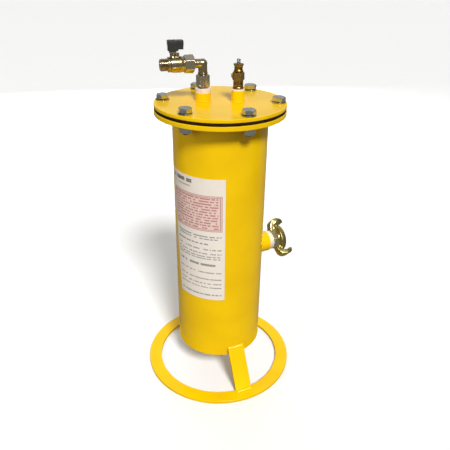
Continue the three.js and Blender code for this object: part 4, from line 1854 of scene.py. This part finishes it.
    def build_lever(self) -> None:
        """The black lever and the screw that holds it."""
        bottom, step, top = self.lever_bottom, self.lever_step, self.lever_top
        place = at(self.stem_x, 0)
        lever = Shape().prism(self.lever_outline(), step, top, 0.9, place)
        skirt = Shape().prism(self.lever_outline(0.4), bottom, step + 1.5, 0.5, place)
        lever.blend(skirt, Blend.JOIN).blend(self.grip(bottom, top), Blend.CUT)
        under = rounded([(-20, -8, 0), (-7.0, -8, 0), (-7.0, 8, 0), (-20, 8, 0)])
        lever.blend(Shape().prism(under, bottom - 3, bottom + 2.2, 0.01, place), Blend.CUT)
        hollow = rounded([
            (0, bottom - 1, 0), (2.7, bottom - 1, 0), (2.7, 27, 0.2), (1.8, 27, 0), (1.8, 28.5, 0),
            (4.2, 28.5, 0.3), (4.2, top + 1, 0), (0, top + 1, 0),
        ])
        lever.blend(Shape().turn(hollow, Facets.SMALL, place), Blend.CUT)
        arms = self.outlet.arms()
        lever.piece(
            "lever_moulded", BLACK_PLASTIC, Body.VALVE_TURN, ["valve_handle"], arms, sharp=32
        )
        head = rounded([
            (0, 23, 0), (1.5, 23, 0.2), (1.5, 28.8, 0), (3.8, 28.8, 0.2), (3.6, 30.0, 0.7),
            (2.6, 30.8, 0.6), (0, 30.8, 0),
        ])
        screw = Shape().turn(head, Facets.SMALL, place)
        slot = [(-2.1, -0.45), (2.1, -0.45), (2.1, 0.45), (-2.1, 0.45)]
        for turn in (20, 110):
            cutter = Shape().prism(slot, 29.6, 31.5, 0.02, place @ spin(turn))
            screw.blend(cutter, Blend.CUT)
        screw.piece("lever_screw", ZINC, Body.VALVE_TURN, ["handle_screw"], arms)


# ---------- relief valve ----------


@dataclass
class ReliefValve:
    """The small brass relief valve that is lifted by its knob."""

    offset: float = 24.8
    bore: float = 4.2
    rod: float = 1.3
    barrel: float = 7.0
    flare: float = 7.8
    thread_top: float = 483.4
    hex_bottom: float = 494.0
    hole_height: float = 490.0
    nub_height: float = 500.0
    socket_top: float = 519.5
    lift: float = 3.0

    def build(self) -> None:
        """Builds every piece of the relief valve."""
        here = at(self.offset, 0)
        self.build_body(here)
        low, high = box_mm("relief_cap")
        cap = Shape().turn(rounded([
            (1.8, low.z, 0), (6.6, low.z, 0.4), (6.6, low.z + 1.6, 0.4), (5.7, low.z + 3.4, 0.8),
            (5.9, high.z - 3.2, 0.8), (7.0, high.z - 1.2, 0.4), (7.0, high.z, 0.4), (1.8, high.z, 0.2),
        ]))
        cap.piece("relief_cap_turned", AGED_BRASS, stands_for=["relief_cap"], place=here)

        low, high = box_mm("relief_stem")
        stem = Shape().turn(rounded([
            (0, low.z, 0), (3.9, low.z, 0.3), (3.9, low.z + 3, 0.3), (self.rod, low.z + 3, 0.2),
            (self.rod, high.z, 0.3), (0, high.z, 0),
        ]), Facets.SMALL)
        stem.piece("relief_stem_turned", STAINLESS, Body.RELIEF_PULL, ["relief_stem"], here)
        low, high = box_mm("relief_knob")
        knob = Shape().turn(rounded([
            (1.6, low.z, 0.1), (2.5, low.z, 0.2), (2.5, low.z + 2.4, 0.4), (1.9, low.z + 3.2, 0.3),
            (2.6, low.z + 4.2, 0.4), (2.5, high.z - 0.6, 0.5), (1.4, high.z, 0.5), (0, high.z, 0),
            (0, self.socket_top, 0), (1.6, self.socket_top, 0),
        ]), Facets.SMALL)
        knob.piece("relief_knob_turned", STAINLESS, Body.RELIEF_PULL, ["relief_knob"], here)
        self.build_spring(here)

    def build_spring(self, here: Matrix) -> None:
        """The spring that holds the disc down; the real one shortens as the knob is pulled, but this coil
        keeps its length.

        Args:
            here: Place of the valve on the cover.
        """
        low, high = box_mm("relief_spring")
        spring = Shape().coil(3.0, 0.4, low.z, high.z, 5)
        wound = spring.piece(
            "relief_spring_wound", STAINLESS, stands_for=["relief_spring"], place=here
        )
        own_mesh(wound)

    def build_body(self, here: Matrix) -> None:
        """The body: thread, flare, barrel with blow-off holes, hexagon and side nub.

        Args:
            here: Place of the valve on the cover.
        """
        low, high = box_mm("relief_body")
        body = Shape().thread(
            QUARTER_INCH.radius, QUARTER_INCH.depth, QUARTER_INCH.pitch,
            low.z, self.thread_top, 2.8,
        )
        lip = self.thread_top - 0.8
        barrel = rounded([
            (self.bore, lip, 0), (self.flare, lip, 0.5), (self.flare, lip + 1.6, 0.4),
            (self.barrel, lip + 2.8, 0.5), (self.barrel, self.hex_bottom + 2, 0.3),
            (self.bore, self.hex_bottom + 2, 0),
        ])
        body.blend(Shape().turn(barrel), Blend.JOIN)
        body.blend(Shape().hexagon(15, self.hex_bottom, high.z, self.bore, soft=0.95), Blend.JOIN)
        sideways = at(0, 0, self.nub_height) @ spin(180) @ lay_down()
        body.blend(Shape().turn(disc_outline(2.6, 5, 10, 0.6), Facets.SMALL, sideways), Blend.JOIN)
        holes = Shape().turn(disc_outline(self.bore, 474, high.z + 1, 0), Facets.SMALL)
        for angle in (45, 135):
            across = at(0, 0, self.hole_height) @ spin(angle) @ lay_down()
            holes.turn(disc_outline(1.3, -12, 12, 0), Facets.WIRE * 2, across)
        body.blend(holes, Blend.CUT)
        body.piece("relief_body_turned", AGED_BRASS, stands_for=["relief_body"], place=here)


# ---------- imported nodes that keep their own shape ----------


@dataclass
class KeptNodes:
    """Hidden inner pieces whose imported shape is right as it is."""

    def dress(self) -> None:
        """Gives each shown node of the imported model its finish."""
        slots = {part["node"]: part["material_slot"] for part in frame["record"]["subparts"]}
        for name, node in frame["nodes"].items():
            if node.hide_render:
                continue
            node.data.materials.clear()
            node.data.materials.append(FINISHES[slots[name]].material())


# ---------- studio ----------


@dataclass
class Studio:
    """The pale floor, the soft lights and the camera."""

    lens: float = 40.56
    place: Place = (0.0440, -0.7193, 0.6456)
    heading: float = 2.795
    pitch: float = 27.886
    roll: float = 0.75
    aimed_at: Place = (0.0, 0.0, 0.28)

    def build(self) -> None:
        """Sets up the camera, the floor and the lights."""
        self.build_camera()
        self.build_floor()
        self.build_wall()
        self.build_world()
        self.add_sun("key", (0.36, -0.93, 1.0), 14.0, 3.35)
        self.add_light("fill", (-1.7, -1.3, 1.0), 1.3, 11.0)
        self.add_light("rear", (-0.4, 2.0, 0.55), 1.4, 20.0)
        self.add_flag("flag_left", (-1.15, 0.25, 0.55), 0.45, 1.5)
        self.add_flag("flag_right", (1.15, 0.15, 0.55), 0.45, 1.5)
        bpy.context.scene.view_settings.view_transform = "Standard"

    def build_camera(self) -> None:
        """The camera, in front of the vessel and looking down on its cover."""
        camera = bpy.data.objects.new("camera", bpy.data.cameras.new("camera"))
        bpy.context.scene.collection.objects.link(camera)
        camera.data.lens = self.lens
        camera.data.sensor_width = 36.0
        camera.data.clip_start = 0.01
        turn = math.radians(self.heading)
        dip = math.radians(self.pitch)
        ahead = Vector((
            -math.sin(turn) * math.cos(dip), math.cos(turn) * math.cos(dip), -math.sin(dip),
        ))
        right = ahead.cross(Vector((0, 0, 1))).normalized()
        up = right.cross(ahead)
        lean = math.radians(self.roll)
        side = right * math.cos(lean) + up * math.sin(lean)
        top = up * math.cos(lean) - right * math.sin(lean)
        matrix = Matrix((side, top, -ahead)).transposed().to_4x4()
        matrix.translation = Vector(self.place)
        camera.matrix_world = matrix
        bpy.context.scene.camera = camera

    def build_floor(self) -> None:
        """A wide pale floor."""
        mesh = bpy.data.meshes.new("floor")
        reach = 12.0
        mesh.from_pydata(
            [(-reach, -reach, 0), (reach, -reach, 0), (reach, reach, 0), (-reach, reach, 0)],
            [], [(0, 1, 2, 3)],
        )
        floor = bpy.data.objects.new("floor", mesh)
        bpy.context.scene.collection.objects.link(floor)
        nodes = Nodes("pale_floor")
        speck = nodes.noise(80, 4)
        nodes.surface(
            Base_Color=nodes.mix(speck, (0.86, 0.86, 0.86), (0.89, 0.89, 0.89)), Roughness=0.8
        )
        mesh.materials.append(nodes.material)
        floor.visible_diffuse = False
        floor.visible_glossy = False

    def build_wall(self) -> None:
        """A pale backdrop all round, which lights nothing and casts no shadow."""
        mesh = bpy.data.meshes.new("backdrop")
        steps, radius, low, high = 48, 11.0, -1.0, 9.0
        ends = [(radius * math.cos(math.tau * k / steps), radius * math.sin(math.tau * k / steps))
                for k in range(steps)]
        points = [(x, y, z) for z in (low, high) for x, y in ends]
        sides = [(k, (k + 1) % steps, steps + (k + 1) % steps, steps + k) for k in range(steps)]
        mesh.from_pydata(points, [], sides)
        wall = bpy.data.objects.new("backdrop", mesh)
        bpy.context.scene.collection.objects.link(wall)
        nodes = Nodes("pale_backdrop")
        cloud = nodes.noise(1500, 2)
        nodes.surface(
            Base_Color=(0.0, 0.0, 0.0), Roughness=1.0, Emission_Strength=1.0,
            Emission_Color=nodes.mix(cloud, (0.86, 0.86, 0.86), (0.92, 0.92, 0.92)),
        )
        mesh.materials.append(nodes.material)
        for ray in ("diffuse", "glossy", "shadow", "transmission"):
            setattr(wall, f"visible_{ray}", False)

    def build_world(self) -> None:
        """A room that is bright behind the object, and dim in front of it and below."""
        world = bpy.data.worlds.new("room")
        bpy.context.scene.world = world
        world.use_nodes = True
        tree = world.node_tree
        coords = tree.nodes.new("ShaderNodeTexCoord")
        split = tree.nodes.new("ShaderNodeSeparateXYZ")
        tree.links.new(coords.outputs["Generated"], split.inputs[0])
        shares = []
        for axis, low, high in ((1, -0.1, 0.7), (2, -0.15, 0.1)):
            share = tree.nodes.new("ShaderNodeMapRange")
            share.interpolation_type = "SMOOTHSTEP"
            share.inputs["From Min"].default_value = low
            share.inputs["From Max"].default_value = high
            tree.links.new(split.outputs[axis], share.inputs["Value"])
            shares.append(share)
        both = tree.nodes.new("ShaderNodeMath")
        both.operation = "MULTIPLY"
        for share, socket in zip(shares, both.inputs):
            tree.links.new(share.outputs["Result"], socket)
        ramp = tree.nodes.new("ShaderNodeValToRGB")
        tree.links.new(both.outputs[0], ramp.inputs[0])
        ramp.color_ramp.elements[0].color = (0.215, 0.21, 0.19, 1)
        ramp.color_ramp.elements[1].color = (0.56, 0.56, 0.56, 1)
        tree.links.new(ramp.outputs[0], tree.nodes["Background"].inputs[0])

    def hang(self, light: bpy.types.Light, aim: Vector) -> bpy.types.Object:
        """Puts a light into the scene.

        Args:
            light: The light.
            aim: Direction in which it shines.

        Returns:
            The lamp.
        """
        lamp = bpy.data.objects.new(light.name, light)
        bpy.context.scene.collection.objects.link(lamp)
        lamp.rotation_mode = "QUATERNION"
        lamp.rotation_quaternion = aim.to_track_quat("-Z", "Y")
        return lamp

    def add_sun(self, name: str, place: Place, width: float, strength: float) -> None:
        """A far, evenly bright light.

        Args:
            name: The lamp's name.
            place: A point it shines from, towards the origin.
            width: How wide it looks from the object, in degrees.
            strength: Its brightness.
        """
        light = bpy.data.lights.new(name, "SUN")
        light.angle = math.radians(width)
        light.energy = strength
        self.hang(light, -Vector(place))

    def add_light(self, name: str, place: Place, size: float, power: float) -> None:
        """A square soft light aimed at the middle of the object.

        Args:
            name: The lamp's name.
            place: Where it stands, in metres.
            size: Length of its side, in metres.
            power: Its power, in watts.
        """
        light = bpy.data.lights.new(name, "AREA")
        light.shape = "SQUARE"
        light.size = size
        light.energy = power
        lamp = self.hang(light, Vector(self.aimed_at) - Vector(place))
        lamp.location = place
        lamp.visible_glossy = False

    def add_flag(self, name: str, place: Place, width: float, height: float) -> None:
        """A dark upright card beside the object, seen only in its reflections.

        Args:
            name: The card's name.
            place: Its middle, in metres.
            width: Its width, in metres.
            height: Its height, in metres.
        """
        mesh = bpy.data.meshes.new(name)
        half_w, half_h = width / 2, height / 2
        mesh.from_pydata(
            [(0, -half_w, -half_h), (0, half_w, -half_h), (0, half_w, half_h), (0, -half_w, half_h)],
            [], [(0, 1, 2, 3)],
        )
        card = bpy.data.objects.new(name, mesh)
        bpy.context.scene.collection.objects.link(card)
        card.location = place
        nodes = Nodes(name)
        weave = nodes.noise(20, 2)
        nodes.surface(Base_Color=nodes.mix(weave, (0.02, 0.02, 0.02), (0.04, 0.04, 0.04)), Roughness=0.9)
        mesh.materials.append(nodes.material)
        card.visible_camera = False
        card.visible_shadow = False
        card.visible_diffuse = False


def main() -> None:
    """Builds the object's sub-assemblies in order."""
    logging.basicConfig(level=logging.INFO, format="%(name)s: %(message)s")
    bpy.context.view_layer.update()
    Studio().build()
    vessel = Vessel()
    outlet = OutletFitting()
    steps = {
        "vessel": vessel.build,
        "cover": Cover(vessel).build,
        "cover bolts": CoverBolts(vessel).build,
        "stand": Stand(vessel).build,
        "label": Label(vessel).build,
        "claw coupling": ClawCoupling(vessel).build,
        "outlet fitting": outlet.build,
        "ball valve": BallValve(outlet).build,
        "relief valve": ReliefValve().build,
        "inner pieces": KeptNodes().dress,
    }
    for title, build in steps.items():
        build()


if __name__ == "__main__":
    main()
